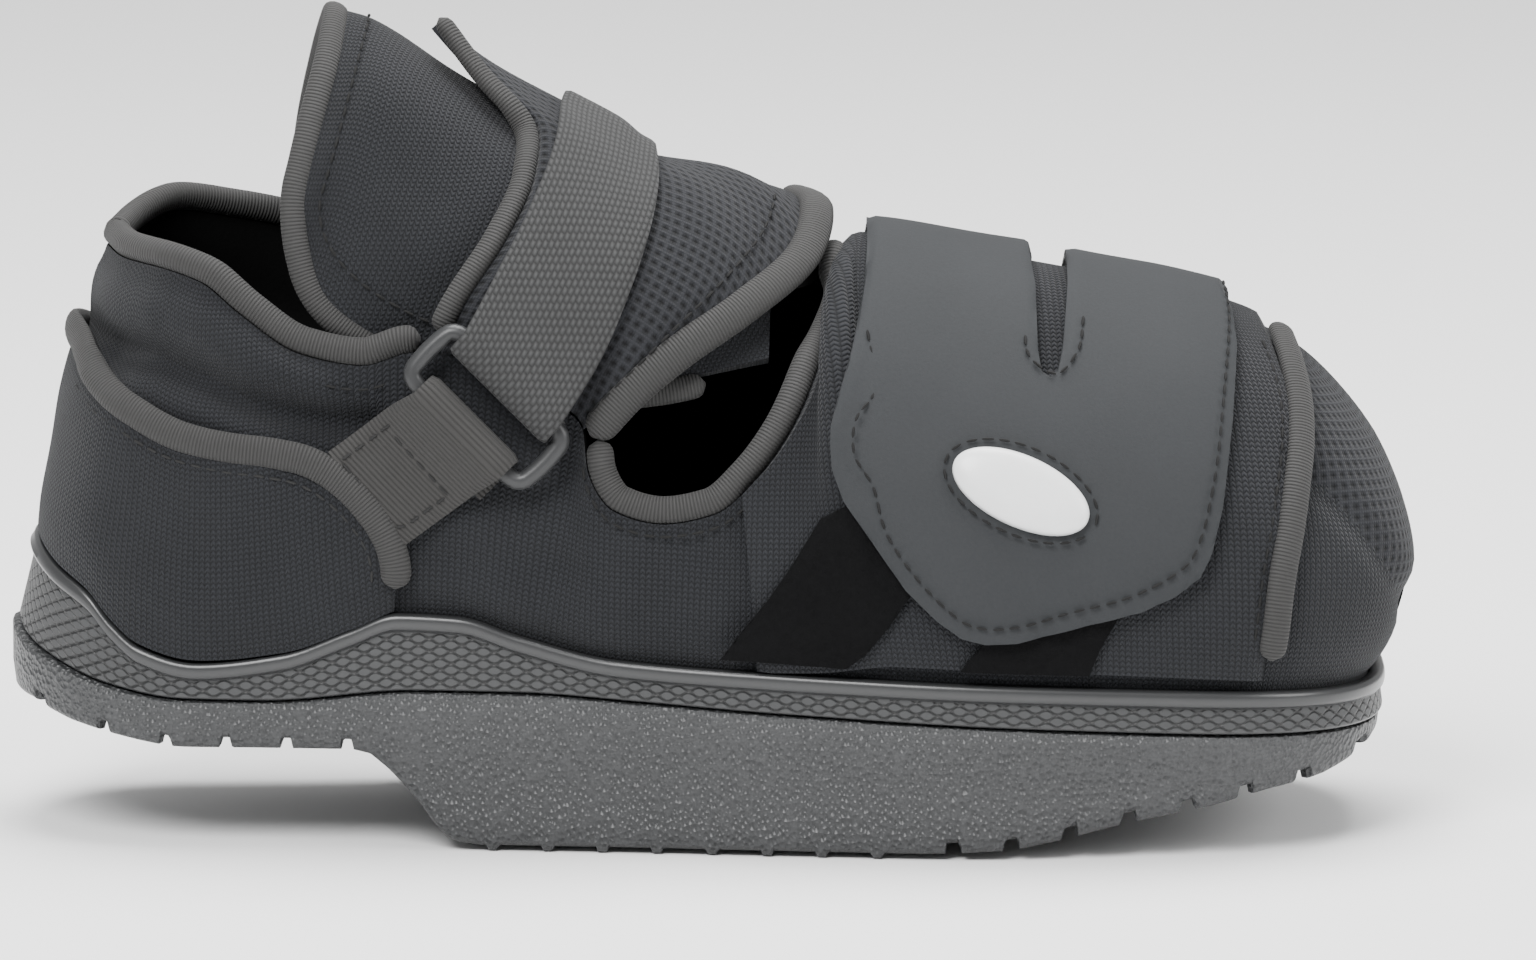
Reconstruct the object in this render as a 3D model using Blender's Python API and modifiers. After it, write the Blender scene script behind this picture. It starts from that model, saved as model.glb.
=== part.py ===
"""Post operative shoe: rocker wedge sole, padded mesh upper, crossing ankle flaps, strap and forefoot flap.
Millimetres here, turned to metres when each mesh is made.
The toe points along +X and the closures are on -Y."""
import bpy
import bmesh
import math
import numpy as np
from mathutils import Vector
from mathutils.bvhtree import BVHTree

# Named sizes in millimetres
LENGTH = 294.8
BALL_WIDTH = 108.0
HEIGHT = 173.0
WALL = 2.6
GAP = 0.3
SHEET = 2.4
STRAP_THICK = 1.6
STRAP_WIDTH = 27.6
TAB_WIDTH = 25.0
LOOP_LENGTH = 32.8
LOOP_WIDTH = 13.6
LOOP_CORNER = 2.6
LOOP_RISE = 5.6
STRAP_LIFT = 2.9
FOLD_REACH = 2.2
TAB_FOLD = 8.0
FOLD_STEP = 2.4
BINDING = 2.6
LOOP_BAR = 1.9
COUNTER_BEAD = 1.7
VAMP_BEAD = 1.6
FLAP_BEAD = 1.5
PATCH_THICK = 1.2
FLAP_THICK = 2.2
PATCH_LIFT = 2 * GAP + SHEET
FLAP_LIFT = PATCH_LIFT + PATCH_THICK + GAP
ARM_REACH = 27.0
BADGE_LENGTH = 30.2
BADGE_WIDTH = 14.8
BADGE_RISE = 2.5
BADGE_GAP = 0.9
LIP = 3.2
INSOLE = 3.5
HEEL_PITCH = 12.6
FORE_PITCH = 12.2
MM = 0.001
# Tables hold shares: x of the length, y and handles out of the ball width, z and handles up of the height
SIZE = {"x": LENGTH, "y": BALL_WIDTH, "z": HEIGHT, "n": 1.0}


def sized(rows, kinds):
    """Turns shares of the named sizes into millimetres, column by column."""
    return np.array([[v * SIZE[k] for v, k in zip(row, kinds)] for row in rows])


# Plan of the sole: x, half width before the ends are rounded
PLAN = [(-0.4953, 0.3565), (-0.3528, 0.3657), (-0.2035, 0.3935), (-0.0678, 0.4259), (0.0678, 0.4676),
        (0.2035, 0.5), (0.329, 0.4815), (0.48, 0.4352)]
# Ends of the plan: x of the end, length of the rounding, squareness
HEEL_END = (-0.4953, 0.1425)
TOE_END = (0.48, 0.156)
HEEL_SQUARE = 2.15
TOE_SQUARE = 2.6
# Side of the sole: x, top of the rim
RIM = [(-0.4953, 0.3555), (-0.4681, 0.3295), (-0.441, 0.304), (-0.424, 0.2717), (-0.4037, 0.2445),
       (-0.363, 0.2277), (-0.3019, 0.2399), (-0.2544, 0.2699), (-0.2205, 0.2908), (-0.1781, 0.2879),
       (-0.1357, 0.2659), (-0.0678, 0.2382), (0.0339, 0.2266), (0.2748, 0.211), (0.3833, 0.2035),
       (0.48, 0.1919)]
# Side of the sole: x, groove between cup and wedge
GROOVE = [(-0.4953, 0.2601), (-0.4851, 0.237), (-0.4681, 0.222), (-0.424, 0.1965), (-0.3731, 0.1838),
          (-0.3155, 0.1827), (-0.2069, 0.1977), (-0.1357, 0.1971), (-0.0509, 0.1884), (0.0339, 0.1786),
          (0.2748, 0.159), (0.3833, 0.1514), (0.48, 0.1416)]
# Floor of the cup: x, height
FLOOR = [(-0.4953, 0.2705), (-0.4613, 0.2399), (-0.4071, 0.2173), (-0.2035, 0.2208), (-0.0678, 0.2116),
         (0.0678, 0.1988), (0.2748, 0.1792), (0.3833, 0.1711), (0.48, 0.1618)]
# Underside of the wedge: x, height
UNDER = [(-0.4766, 0.1618), (-0.4512, 0.1462), (-0.4342, 0.1399), (-0.4037, 0.1295), (-0.3731, 0.1231),
         (-0.2507, 0.1225), (-0.2402, 0.1173), (-0.2273, 0.0983), (-0.2086, 0.0636), (-0.1961, 0.0335),
         (-0.1866, 0.0162), (-0.1781, 0.0092), (-0.1628, 0.0064), (0.134, 0.0064), (0.2035, 0.011),
         (0.2408, 0.0225), (0.2765, 0.0376), (0.3087, 0.0497), (0.3518, 0.0636), (0.3925, 0.0798),
         (0.4342, 0.0908), (0.4596, 0.1058), (0.4732, 0.1191), (0.4783, 0.1272)]
# Top edge of the near side: arc share, x, y, z, lower handle out and up, upper handle out and down
NEAR = [(0.0, -0.4291, 0.0, 0.7023, -0.0185, 0.1156, 0.0463, 0.1156),
        (0.06, -0.4172, -0.1019, 0.6971, 0.0, 0.1156, 0.037, 0.1156),
        (0.12, -0.3901, -0.1991, 0.6936, 0.037, 0.1272, 0.037, 0.1156),
        (0.17, -0.3596, -0.2546, 0.6809, 0.0556, 0.1272, 0.037, 0.1156),
        (0.21, -0.329, -0.2917, 0.6428, 0.0648, 0.1156, 0.037, 0.104),
        (0.25, -0.2883, -0.3194, 0.6, 0.0648, 0.104, 0.0278, 0.0925),
        (0.285, -0.2442, -0.3333, 0.5873, 0.0556, 0.0925, 0.0231, 0.0925),
        (0.31, -0.2069, -0.3407, 0.6046, 0.0556, 0.0925, 0.0185, 0.0925),
        (0.345, -0.156, -0.3519, 0.5896, 0.0556, 0.0925, 0.0185, 0.0925),
        (0.375, -0.1153, -0.3648, 0.552, 0.0556, 0.0809, 0.0139, 0.0809),
        (0.395, -0.0899, -0.3759, 0.5145, 0.0463, 0.0694, 0.0139, 0.0694),
        (0.41, -0.0868, -0.3889, 0.4682, 0.0463, 0.0578, 0.0093, 0.052),
        (0.43, -0.0695, -0.4037, 0.4197, 0.037, 0.052, 0.0093, 0.0462),
        (0.46, -0.0336, -0.413, 0.4035, 0.0324, 0.052, 0.0093, 0.0462),
        (0.49, 0.0017, -0.4148, 0.415, 0.037, 0.052, 0.0139, 0.052),
        (0.52, 0.0332, -0.4037, 0.4601, 0.0463, 0.0694, 0.0185, 0.0694),
        (0.545, 0.059, -0.3741, 0.5214, 0.0556, 0.0925, 0.037, 0.0867),
        (0.565, 0.0746, -0.3204, 0.5803, 0.0648, 0.1272, 0.0833, 0.0925),
        (0.58, 0.0848, -0.2361, 0.6387, 0.0648, 0.1734, 0.1481, 0.052),
        (0.592, 0.0936, -0.125, 0.6867, 0.0648, 0.2081, 0.213, 0.0173),
        (0.605, 0.1052, 0.0, 0.7023, 0.0648, 0.2312, 0.2593, 0.0)]
# Ridge and toe, both sides: arc share, x, y, z, lower handle out and up, upper handle out and down
RIDGE = [(0.64, 0.1493, 0.0, 0.6902, 0.0648, 0.2312, 0.2685, 0.0),
         (0.7, 0.2205, 0.0, 0.6682, 0.0648, 0.2312, 0.2685, 0.0),
         (0.76, 0.2849, 0.0, 0.6486, 0.0741, 0.2197, 0.2685, 0.0029),
         (0.815, 0.3324, 0.0, 0.6324, 0.0926, 0.1965, 0.2593, 0.0058),
         (0.865, 0.3562, 0.0, 0.6237, 0.1389, 0.1618, 0.2407, 0.0202),
         (0.905, 0.3731, 0.0, 0.6139, 0.1759, 0.1445, 0.2222, 0.0347),
         (0.945, 0.385, 0.0, 0.6058, 0.1944, 0.1358, 0.2037, 0.0405),
         (1.0, 0.3918, 0.0, 0.6006, 0.1944, 0.1301, 0.1852, 0.0405)]
# Top edge of the far side, same columns
FAR = [(0.0, -0.4291, 0.0, 0.7023, -0.0185, 0.1156, 0.0463, 0.1156),
       (0.06, -0.4172, 0.1019, 0.7139, 0.0, 0.1156, 0.037, 0.1156),
       (0.12, -0.3901, 0.1991, 0.7283, 0.037, 0.1272, 0.037, 0.1156),
       (0.18, -0.346, 0.2731, 0.7133, 0.0556, 0.1272, 0.037, 0.1156),
       (0.24, -0.2917, 0.3148, 0.6902, 0.0648, 0.1156, 0.037, 0.1156),
       (0.3, -0.2239, 0.3287, 0.6532, 0.0556, 0.104, 0.0278, 0.104),
       (0.37, -0.1425, 0.338, 0.6272, 0.0556, 0.104, 0.0278, 0.104),
       (0.44, -0.0577, 0.338, 0.6156, 0.0556, 0.104, 0.037, 0.104),
       (0.5, 0.0102, 0.3194, 0.6214, 0.0556, 0.1156, 0.0556, 0.104),
       (0.55, 0.0611, 0.25, 0.6358, 0.0648, 0.1734, 0.1296, 0.052),
       (0.582, 0.0882, 0.125, 0.6867, 0.0648, 0.2081, 0.213, 0.0173),
       (0.605, 0.1052, 0.0, 0.7023, 0.0648, 0.2312, 0.2593, 0.0)]
# Outer face of the near ankle flap: share from rear to front edge, then x, y, z of low, middle, shoulder,
# crest, beyond and end; the root comes from the top edge of the near side
NEAR_FLAP = [(0.0, -0.1764, -0.3389, 0.6532, -0.1459, -0.2917, 0.7341, -0.1255, -0.1944, 0.8092,
              -0.1255, -0.0926, 0.8584, -0.156, -0.0417, 0.9104, -0.19, 0.0093, 0.9769),
             (0.22, -0.1543, -0.3463, 0.6532, -0.134, -0.3102, 0.7254, -0.117, -0.2222, 0.8006,
              -0.1119, -0.1019, 0.8532, -0.1204, 0.0185, 0.8832, -0.1493, 0.0926, 0.9075),
             (0.5, -0.1136, -0.3574, 0.6185, -0.0967, -0.3287, 0.6908, -0.0831, -0.25, 0.7601, -0.0746,
              -0.1204, 0.8197, -0.0729, 0.0185, 0.8416, -0.0746, 0.1852, 0.815),
             (0.74, -0.0848, -0.3611, 0.5867, -0.0645, -0.3426, 0.6503, -0.0492, -0.2778, 0.7197,
              -0.0407, -0.1481, 0.7832, -0.039, 0.0185, 0.8081, -0.0339, 0.2037, 0.7775),
             (0.88, -0.0678, -0.3648, 0.5751, -0.0373, -0.3389, 0.6387, -0.0119, -0.2731, 0.6994,
              0.0068, -0.1481, 0.7601, 0.0136, 0.0, 0.7896, 0.0136, 0.1852, 0.763),
             (1.0, -0.0628, -0.3667, 0.5636, -0.0254, -0.3426, 0.6156, 0.017, -0.287, 0.6618, 0.0594,
              -0.1667, 0.7139, 0.0678, -0.0278, 0.7572, 0.0509, 0.1296, 0.7572)]
# Outer face of the far ankle flap: share from rear to front edge, then x, y, z of low, shoulder, crest,
# near shoulder, near side and near end; the root comes from the top edge of the far side
FAR_FLAP = [(0.0, -0.2849, 0.3056, 0.7919, -0.2697, 0.1944, 0.9249, -0.2578, 0.0185, 0.9855, -0.2629,
             -0.1111, 0.9422, -0.2765, -0.2037, 0.8555, -0.2883, -0.25, 0.7688),
            (0.16, -0.2442, 0.3148, 0.7688, -0.2307, 0.2037, 0.9075, -0.2239, 0.0185, 0.9595, -0.2307,
             -0.125, 0.9191, -0.2476, -0.2315, 0.8092, -0.2748, -0.2778, 0.6763),
            (0.36, -0.1832, 0.3102, 0.7168, -0.1764, 0.1944, 0.8497, -0.173, 0.0093, 0.8988, -0.173,
             -0.1389, 0.8584, -0.19, -0.25, 0.7514, -0.2239, -0.2963, 0.6069),
            (0.58, -0.1153, 0.3056, 0.6879, -0.1085, 0.1852, 0.7948, -0.1052, 0.0093, 0.8353, -0.1052,
             -0.1481, 0.7948, -0.1153, -0.2639, 0.6994, -0.1459, -0.3148, 0.5723),
            (0.8, -0.0407, 0.2963, 0.6647, -0.0356, 0.1759, 0.7399, -0.0339, 0.0093, 0.7717, -0.0339,
             -0.1481, 0.7399, -0.039, -0.2593, 0.6647, -0.0509, -0.3194, 0.5636),
            (1.0, 0.0288, 0.2731, 0.6647, 0.0373, 0.1389, 0.7023, 0.0407, 0.0, 0.711, 0.0424, -0.1111,
             0.6965, 0.0424, -0.2083, 0.6503, 0.0407, -0.2778, 0.5925)]
# Heel counter in side view: x and height of its upper edge, from the back
COUNTER = [(-0.5088, 0.604), (-0.4393, 0.5896), (-0.4274, 0.5578), (-0.4138, 0.5353), (-0.3982, 0.5202),
           (-0.3748, 0.5017), (-0.3419, 0.4896), (-0.3063, 0.4832), (-0.2815, 0.474), (-0.2578, 0.4497),
           (-0.2391, 0.4185), (-0.2252, 0.3815), (-0.2205, 0.3497), (-0.2212, 0.3266), (-0.2239, 0.2659)]
# Front edge of the vamp panel in side view, from the ridge down
VAMP_FRONT = [(0.3765, 0.6474), (0.3867, 0.6214), (0.3962, 0.5925), (0.4037, 0.5607), (0.4084, 0.5231),
              (0.4084, 0.4798), (0.405, 0.437), (0.4009, 0.3913), (0.3955, 0.3434), (0.3908, 0.2803),
              (0.3877, 0.2457), (0.3847, 0.1965)]
# Rear edge of the vamp panel in side view, from the ridge down
VAMP_REAR = [(0.0814, 0.7514), (0.0475, 0.6474), (0.0271, 0.5491), (0.0204, 0.4624), (0.0271, 0.3468),
             (0.0339, 0.1965)]
# Forefoot closure flap in side view, from the rear top corner down and round to the front
# along the top with the V between its two arms
FLAP = [(0.1099, 0.7428), (0.1102, 0.7162), (0.1075, 0.6728), (0.0991, 0.6104), (0.0882, 0.552),
        (0.0828, 0.5202), (0.0845, 0.4769), (0.0926, 0.4399), (0.1147, 0.3867), (0.136, 0.3353),
        (0.1574, 0.2994), (0.1744, 0.2786), (0.1917, 0.2711), (0.2137, 0.2728), (0.2507, 0.2884),
        (0.2999, 0.3087), (0.3256, 0.3283), (0.3423, 0.3497), (0.3501, 0.3763), (0.3582, 0.4301),
        (0.366, 0.5272), (0.3704, 0.604), (0.3684, 0.6335), (0.3596, 0.659), (0.3426, 0.7514),
        (0.252, 0.7514), (0.2514, 0.6717), (0.2473, 0.6116), (0.2436, 0.5838), (0.2381, 0.5757),
        (0.232, 0.5815), (0.2293, 0.6069), (0.2286, 0.6717), (0.2252, 0.6994), (0.2239, 0.7514),
        (0.1099, 0.7861)]
# Patches under the flap in side view: rear foot, rear top, front top, front foot
PATCH_REAR = [(0.0068, 0.2457), (0.019, 0.2746), (0.0393, 0.3179), (0.0577, 0.363), (0.0767, 0.4162),
              (0.1018, 0.4393), (0.1493, 0.3468), (0.1374, 0.3214), (0.1238, 0.2873), (0.1069, 0.252),
              (0.0943, 0.2364)]
PATCH_FRONT = [(0.1706, 0.2266), (0.1798, 0.2474), (0.1934, 0.2763), (0.2035, 0.3121), (0.2782, 0.3353),
               (0.2856, 0.3029), (0.2727, 0.2647), (0.2632, 0.2249)]
# Ankle strap: x, y, z of its rear edge, then of its front edge, from the loop to the far side
STRAP = [(-0.1781, -0.3796, 0.6069, -0.1035, -0.3981, 0.5202),
         (-0.1628, -0.3704, 0.6555, -0.0868, -0.3889, 0.5595),
         (-0.1459, -0.3519, 0.7168, -0.0661, -0.3704, 0.6387),
         (-0.1272, -0.2963, 0.7803, -0.0485, -0.3241, 0.7139),
         (-0.1133, -0.2222, 0.8324, -0.0393, -0.2407, 0.7659),
         (-0.1052, -0.1296, 0.8699, -0.036, -0.1296, 0.8064),
         (-0.1052, 0.0, 0.8873, -0.0407, 0.0, 0.8225),
         (-0.1069, 0.1574, 0.8555, -0.0407, 0.1574, 0.8035),
         (-0.1153, 0.2778, 0.7861, -0.0424, 0.2685, 0.7399),
         (-0.1289, 0.3519, 0.7052, -0.0492, 0.3426, 0.659),
         (-0.1391, 0.3889, 0.6012, -0.0594, 0.3889, 0.5665),
         (-0.1459, 0.4074, 0.4971, -0.0678, 0.4167, 0.474)]
# Loop: centre x and height in side view, lean in degrees
LOOP_CENTRE = (-0.156, 0.541)
LOOP_LEAN = 45.0
# Rear end of the tab in side view: lower corner, upper corner
TAB = [(-0.2035, 0.396), (-0.2425, 0.5)]
# Badge: centre x and height, lean in degrees
BADGE_CENTRE = (0.2157, 0.4393)
BADGE_LEAN = -26.0
# Lugs: x of the first heel notch and of the first forefoot notch, counts, width and depth
HEEL_NOTCH = (-0.4701, 6, 2.4, 2.2)
FORE_NOTCH = (0.1696, 8, 3.4, 2.3)
RIB = (-0.1547, 8, 11.4, 2.6)

# Curve through table rows that never overshoots
def smooth(xs, ys, x):
    xs = np.asarray(xs, float)
    ys = np.asarray(ys, float)
    x = np.clip(np.asarray(x, float), xs[0], xs[-1])
    h = np.diff(xs)
    d = np.diff(ys) / h
    m = np.zeros(len(xs))
    m[0] = d[0]
    m[-1] = d[-1]
    for i in range(1, len(xs) - 1):
        if d[i - 1] * d[i] > 0:
            a = 2 * h[i] + h[i - 1]
            b = h[i] + 2 * h[i - 1]
            m[i] = (a + b) / (a / d[i - 1] + b / d[i])
    k = np.clip(np.searchsorted(xs, x, side="right") - 1, 0, len(xs) - 2)
    t = (x - xs[k]) / h[k]
    return ((1 + 2 * t) * (1 - t) ** 2 * ys[k] + t * (1 - t) ** 2 * h[k] * m[k]
            + t * t * (3 - 2 * t) * ys[k + 1] + t * t * (t - 1) * h[k] * m[k + 1])


# Curve through table rows that is free to round its corners
def flowing(xs, ys, x):
    xs = np.asarray(xs, float)
    ys = np.asarray(ys, float)
    x = float(np.clip(x, xs[0], xs[-1]))
    m = np.gradient(ys, xs, axis=0)
    k = int(np.clip(np.searchsorted(xs, x, side="right") - 1, 0, len(xs) - 2))
    h = xs[k + 1] - xs[k]
    t = (x - xs[k]) / h
    return ((1 + 2 * t) * (1 - t) ** 2 * ys[k] + t * (1 - t) ** 2 * h * m[k]
            + t * t * (3 - 2 * t) * ys[k + 1] + t * t * (t - 1) * h * m[k + 1])


PLAN_T = sized(PLAN, "xy")
RIM_T = sized(RIM, "xz")
GROOVE_T = sized(GROOVE, "xz")
FLOOR_T = sized(FLOOR, "xz")
UNDER_T = sized(UNDER, "xz")
HEEL_X, HEEL_R = sized([HEEL_END], "xx")[0]
TOE_X, TOE_R = sized([TOE_END], "xx")[0]


def half_width(x):
    w = smooth(PLAN_T[:, 0], PLAN_T[:, 1], x)
    a = max(0.0, (HEEL_X + HEEL_R - x) / HEEL_R)
    b = max(0.0, (x - TOE_X + TOE_R) / TOE_R)
    w = w * max(0.0, 1 - min(a, 1.0) ** HEEL_SQUARE) ** (1 / HEEL_SQUARE)
    return w * max(0.0, 1 - min(b, 1.0) ** TOE_SQUARE) ** (1 / TOE_SQUARE)


# Half outline on the near side, walked by its arc length
def walk_outline():
    pts = []
    for i in range(241):
        t = i / 240
        a = 0.5 * math.pi * t
        pts.append(HEEL_X + HEEL_R * (1 - math.cos(a) ** (2 / HEEL_SQUARE)))
    for i in range(1, 200):
        pts.append(HEEL_X + HEEL_R + (TOE_X - TOE_R - HEEL_X - HEEL_R) * i / 200)
    for i in range(241):
        a = 0.5 * math.pi * i / 240
        pts.append(TOE_X - TOE_R + TOE_R * math.sin(a) ** (2 / TOE_SQUARE))
    xy = np.array([(x, -half_width(x)) for x in pts])
    xy[0] = (HEEL_X, 0.0)
    xy[-1] = (TOE_X, 0.0)
    s = np.concatenate([[0], np.cumsum(np.hypot(*np.diff(xy, axis=0).T))])
    return xy, s / s[-1]


OUTLINE, OUTLINE_S = walk_outline()


def edge(q):
    """Point and outward normal of the near half outline at an arc share."""
    x = np.interp(q, OUTLINE_S, OUTLINE[:, 0])
    y = np.interp(q, OUTLINE_S, OUTLINE[:, 1])
    a, b = max(q - 0.012, 0.0), min(q + 0.012, 1.0)
    tx = np.interp(b, OUTLINE_S, OUTLINE[:, 0]) - np.interp(a, OUTLINE_S, OUTLINE[:, 0])
    ty = np.interp(b, OUTLINE_S, OUTLINE[:, 1]) - np.interp(a, OUTLINE_S, OUTLINE[:, 1])
    if q <= 0.0:
        tx, ty = 0.0, -1.0
    if q >= 1.0:
        tx, ty = 0.0, 1.0
    n = math.hypot(tx, ty)
    return x, y, ty / n, -tx / n


def heel_lean(x, z):
    """How far the cup leans in at the back, above the groove."""
    share = max(0.0, 1 - (x - HEEL_X) / (0.45 * HEEL_R))
    return 0.22 * share ** 1.5 * max(0.0, z - float(GROOVE_T[0, 1]))


def rim_z(x):
    return float(smooth(RIM_T[:, 0], RIM_T[:, 1], x))


def groove_z(x):
    return float(smooth(GROOVE_T[:, 0], GROOVE_T[:, 1], x))


def floor_z(x):
    return float(smooth(FLOOR_T[:, 0], FLOOR_T[:, 1], x))


NEAR_T = sized(NEAR + RIDGE, "nxyzyzyz")
FAR_T = sized(FAR + RIDGE, "nxyzyzyz")
RIDGE_Q = RIDGE[0][0]
JOIN_Q = FAR[-1][0]
TOP = {"near": NEAR_T, "far": FAR_T}
SIDE = {"near": 1.0, "far": -1.0}


def foot_point(side, q, z):
    """Point on the inside of the rim, where the wall comes up."""
    x, y, nx, ny = edge(q)
    d = LIP + GAP + heel_lean(x, z)
    if 0 < q < 1:
        y = min(y - ny * d, 0.0)
    return np.array([x - nx * d, y * SIDE[side], z]), np.array([nx, ny * SIDE[side], 0.0])


def wall(side, q, v):
    """Outer face of the upper from the rim (v = 0) to its top edge (v = 1)."""
    q = float(np.clip(q, 0, 1))
    row = [float(c) for c in smooth_row(TOP[side], q)]
    top = np.array(row[0:3])
    if q >= JOIN_Q or q == 0.0:
        top[1] = 0.0
    x = edge(q)[0]
    foot, n = foot_point(side, q, rim_z(x))
    rise = max(top[2] - foot[2], 1.0)
    t = np.array([n[1] * -SIDE[side], n[0] * SIDE[side], 0.0])
    lean = float(np.dot(top - foot, t)) / rise
    lean = lean * float(np.clip((0.92 - q) / 0.25, 0, 1)) * float(np.clip(q / 0.1, 0, 1))
    up = np.array([0, 0, 1.0]) + t * lean
    p1 = foot + n * row[3] + up * row[4]
    p2 = top + n * row[5] - up * row[6] * (0 if q >= JOIN_Q and q < 0.8 else 1)
    v = float(v)
    return ((1 - v) ** 3 * foot + 3 * v * (1 - v) ** 2 * p1 + 3 * v * v * (1 - v) * p2 + v ** 3 * top)


def smooth_row(table, q):
    return [smooth(table[:, 0], table[:, c], q) for c in range(1, table.shape[1])]


def over(q, v):
    """Near wall up to the ridge, then down the far side."""
    return wall("near", q, v) if v <= 1 else wall("far", q, 2 - v)


def normal(fn, a, b, da=0.004, db=0.02, flip=1.0):
    pa = fn(a + da, b) - fn(a - da, b)
    pb = fn(a, b + db) - fn(a, b - db)
    n = np.cross(pa, pb)
    return flip * n / max(np.linalg.norm(n), 1e-9)


def wall_normal(side, q, v):
    if q < JOIN_Q:
        v = min(v, 0.9)
    if side == "near":
        def f(a, b):
            if b > 1 and a >= JOIN_Q:
                return wall("far", a, 2 - b)
            return wall("near", a, min(b, 1.0))
        n = normal(f, min(max(q, 0.004), 0.996), max(v, 0.02))
    else:
        def f(a, b):
            if b > 1 and a >= JOIN_Q:
                return wall("near", a, 2 - b)
            return wall("far", a, min(b, 1.0))
        n = normal(f, min(max(q, 0.004), 0.996), max(v, 0.02), flip=-1.0)
    if q <= 0 or q >= 1 or (v >= 1 and q >= JOIN_Q):
        n[1] = 0.0
    return n / np.linalg.norm(n)


# Blender helpers
for old in list(bpy.data.objects):
    bpy.data.objects.remove(old, do_unlink=True)
PARTS = bpy.data.collections.new("post_operative_shoe")
CUTTERS = bpy.data.collections.new("cutters")
bpy.context.scene.collection.children.link(PARTS)
bpy.context.scene.collection.children.link(CUTTERS)

COLOURS = {"rubber_grey": (0.10, 0.105, 0.11, 0.55), "sole_grey": (0.075, 0.078, 0.082, 0.8),
           "mesh_charcoal": (0.045, 0.05, 0.06, 0.9), "tape_grey": (0.13, 0.125, 0.12, 0.85),
           "webbing_grey": (0.12, 0.118, 0.115, 0.85), "suede_grey": (0.05, 0.052, 0.056, 0.95),
           "metal_grey": (0.3, 0.3, 0.3, 0.35), "badge_white": (0.75, 0.76, 0.76, 0.4),
           "fuzzy_black": (0.012, 0.012, 0.013, 1.0), "foam_black": (0.02, 0.02, 0.022, 0.9)}


def material(name):
    m = bpy.data.materials.get(name)
    if m is None:
        m = bpy.data.materials.new(name)
        m.use_nodes = True
        r, g, b, rough = COLOURS[name]
        p = m.node_tree.nodes["Principled BSDF"]
        p.inputs["Base Color"].default_value = (r, g, b, 1)
        p.inputs["Roughness"].default_value = rough
        p.inputs["Metallic"].default_value = 0.8 if name == "metal_grey" else 0.0
    return m


def body(name, points, faces, slot, where=None):
    me = bpy.data.meshes.new(name)
    me.from_pydata([tuple(float(c) * MM for c in p) for p in points], [], faces)
    bm = bmesh.new()
    bm.from_mesh(me)
    bmesh.ops.remove_doubles(bm, verts=bm.verts, dist=1e-6)
    bmesh.ops.triangulate(bm, faces=[f for f in bm.faces if len(f.verts) > 3])
    bmesh.ops.recalc_face_normals(bm, faces=bm.faces)
    bm.to_mesh(me)
    bm.free()
    ob = bpy.data.objects.new(name, me)
    (where or PARTS).objects.link(ob)
    if slot:
        me.materials.append(material(slot))
    return ob


def grid_faces(n, m, first=0, wrap=False):
    out = []
    for i in range(n if wrap else n - 1):
        for j in range(m - 1):
            a = first + i * m + j
            b = first + ((i + 1) % n) * m + j
            out.append((a, b, b + 1, a + 1))
    return out


def sheet(name, grid, slot, thickness, outward, side=1.0):
    """Sheet from a grid of points, thickened; the grid is its face nearer the foot if outward."""
    n = len(grid)
    m = len(grid[0])
    pts = [p for row in grid for p in row]
    me = bpy.data.meshes.new(name)
    me.from_pydata([tuple(float(c) * MM for c in p) for p in pts], [], grid_faces(n, m))
    ob = bpy.data.objects.new(name, me)
    PARTS.objects.link(ob)
    me.materials.append(material(slot))
    mod = ob.modifiers.new("thickness", "SOLIDIFY")
    mod.thickness = thickness * MM
    mod.offset = side if outward else -side
    mod.use_even_offset = False
    mod.use_quality_normals = True
    return ob


def thicken(name, pts, normals, faces, thickness, slot, outward=False):
    """Closed body from an outer face, its normals and a wall thickness, with a band along open edges."""
    n = len(pts)
    way = 1.0 if outward else -1.0
    inner = [np.array(p) + way * thickness * np.array(v) for p, v in zip(pts, normals)]
    seen = {}
    for f in faces:
        for a, b in zip(f, f[1:] + f[:1]):
            seen[(a, b)] = True
    out = list(faces)
    out += [tuple(v + n for v in f[::-1]) for f in faces]
    out += [(b, a, a + n, b + n) for a, b in seen if (b, a) not in seen]
    return body(name, list(pts) + inner, out, slot)


def tube(name, path, radius, slot, closed=False, sides=1):
    cu = bpy.data.curves.new(name, "CURVE")
    cu.dimensions = "3D"
    cu.bevel_depth = radius * MM
    cu.bevel_resolution = sides
    cu.use_fill_caps = True
    sp = cu.splines.new("POLY")
    sp.points.add(len(path) - 1)
    for p, v in zip(sp.points, path):
        p.co = (v[0] * MM, v[1] * MM, v[2] * MM, 1)
    sp.use_cyclic_u = closed
    ob = bpy.data.objects.new(name, cu)
    PARTS.objects.link(ob)
    cu.materials.append(material(slot))
    return ob


HEEL_Q = [0.0, 0.035, 0.07, 0.11, 0.15, 0.19, 0.23]
TOE_Q = [0.76, 0.795, 0.825, 0.85, 0.875, 0.9, 0.925, 0.95, 0.975, 1.0]
SIDE_Q = [0.27, 0.31, 0.352, 0.40, 0.45, 0.50, 0.55, 0.605, 0.64, 0.68, 0.72]


def ring_stations():
    """Arc shares round one half of the sole, closer together at the ends."""
    return HEEL_Q + SIDE_Q + TOE_Q


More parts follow.
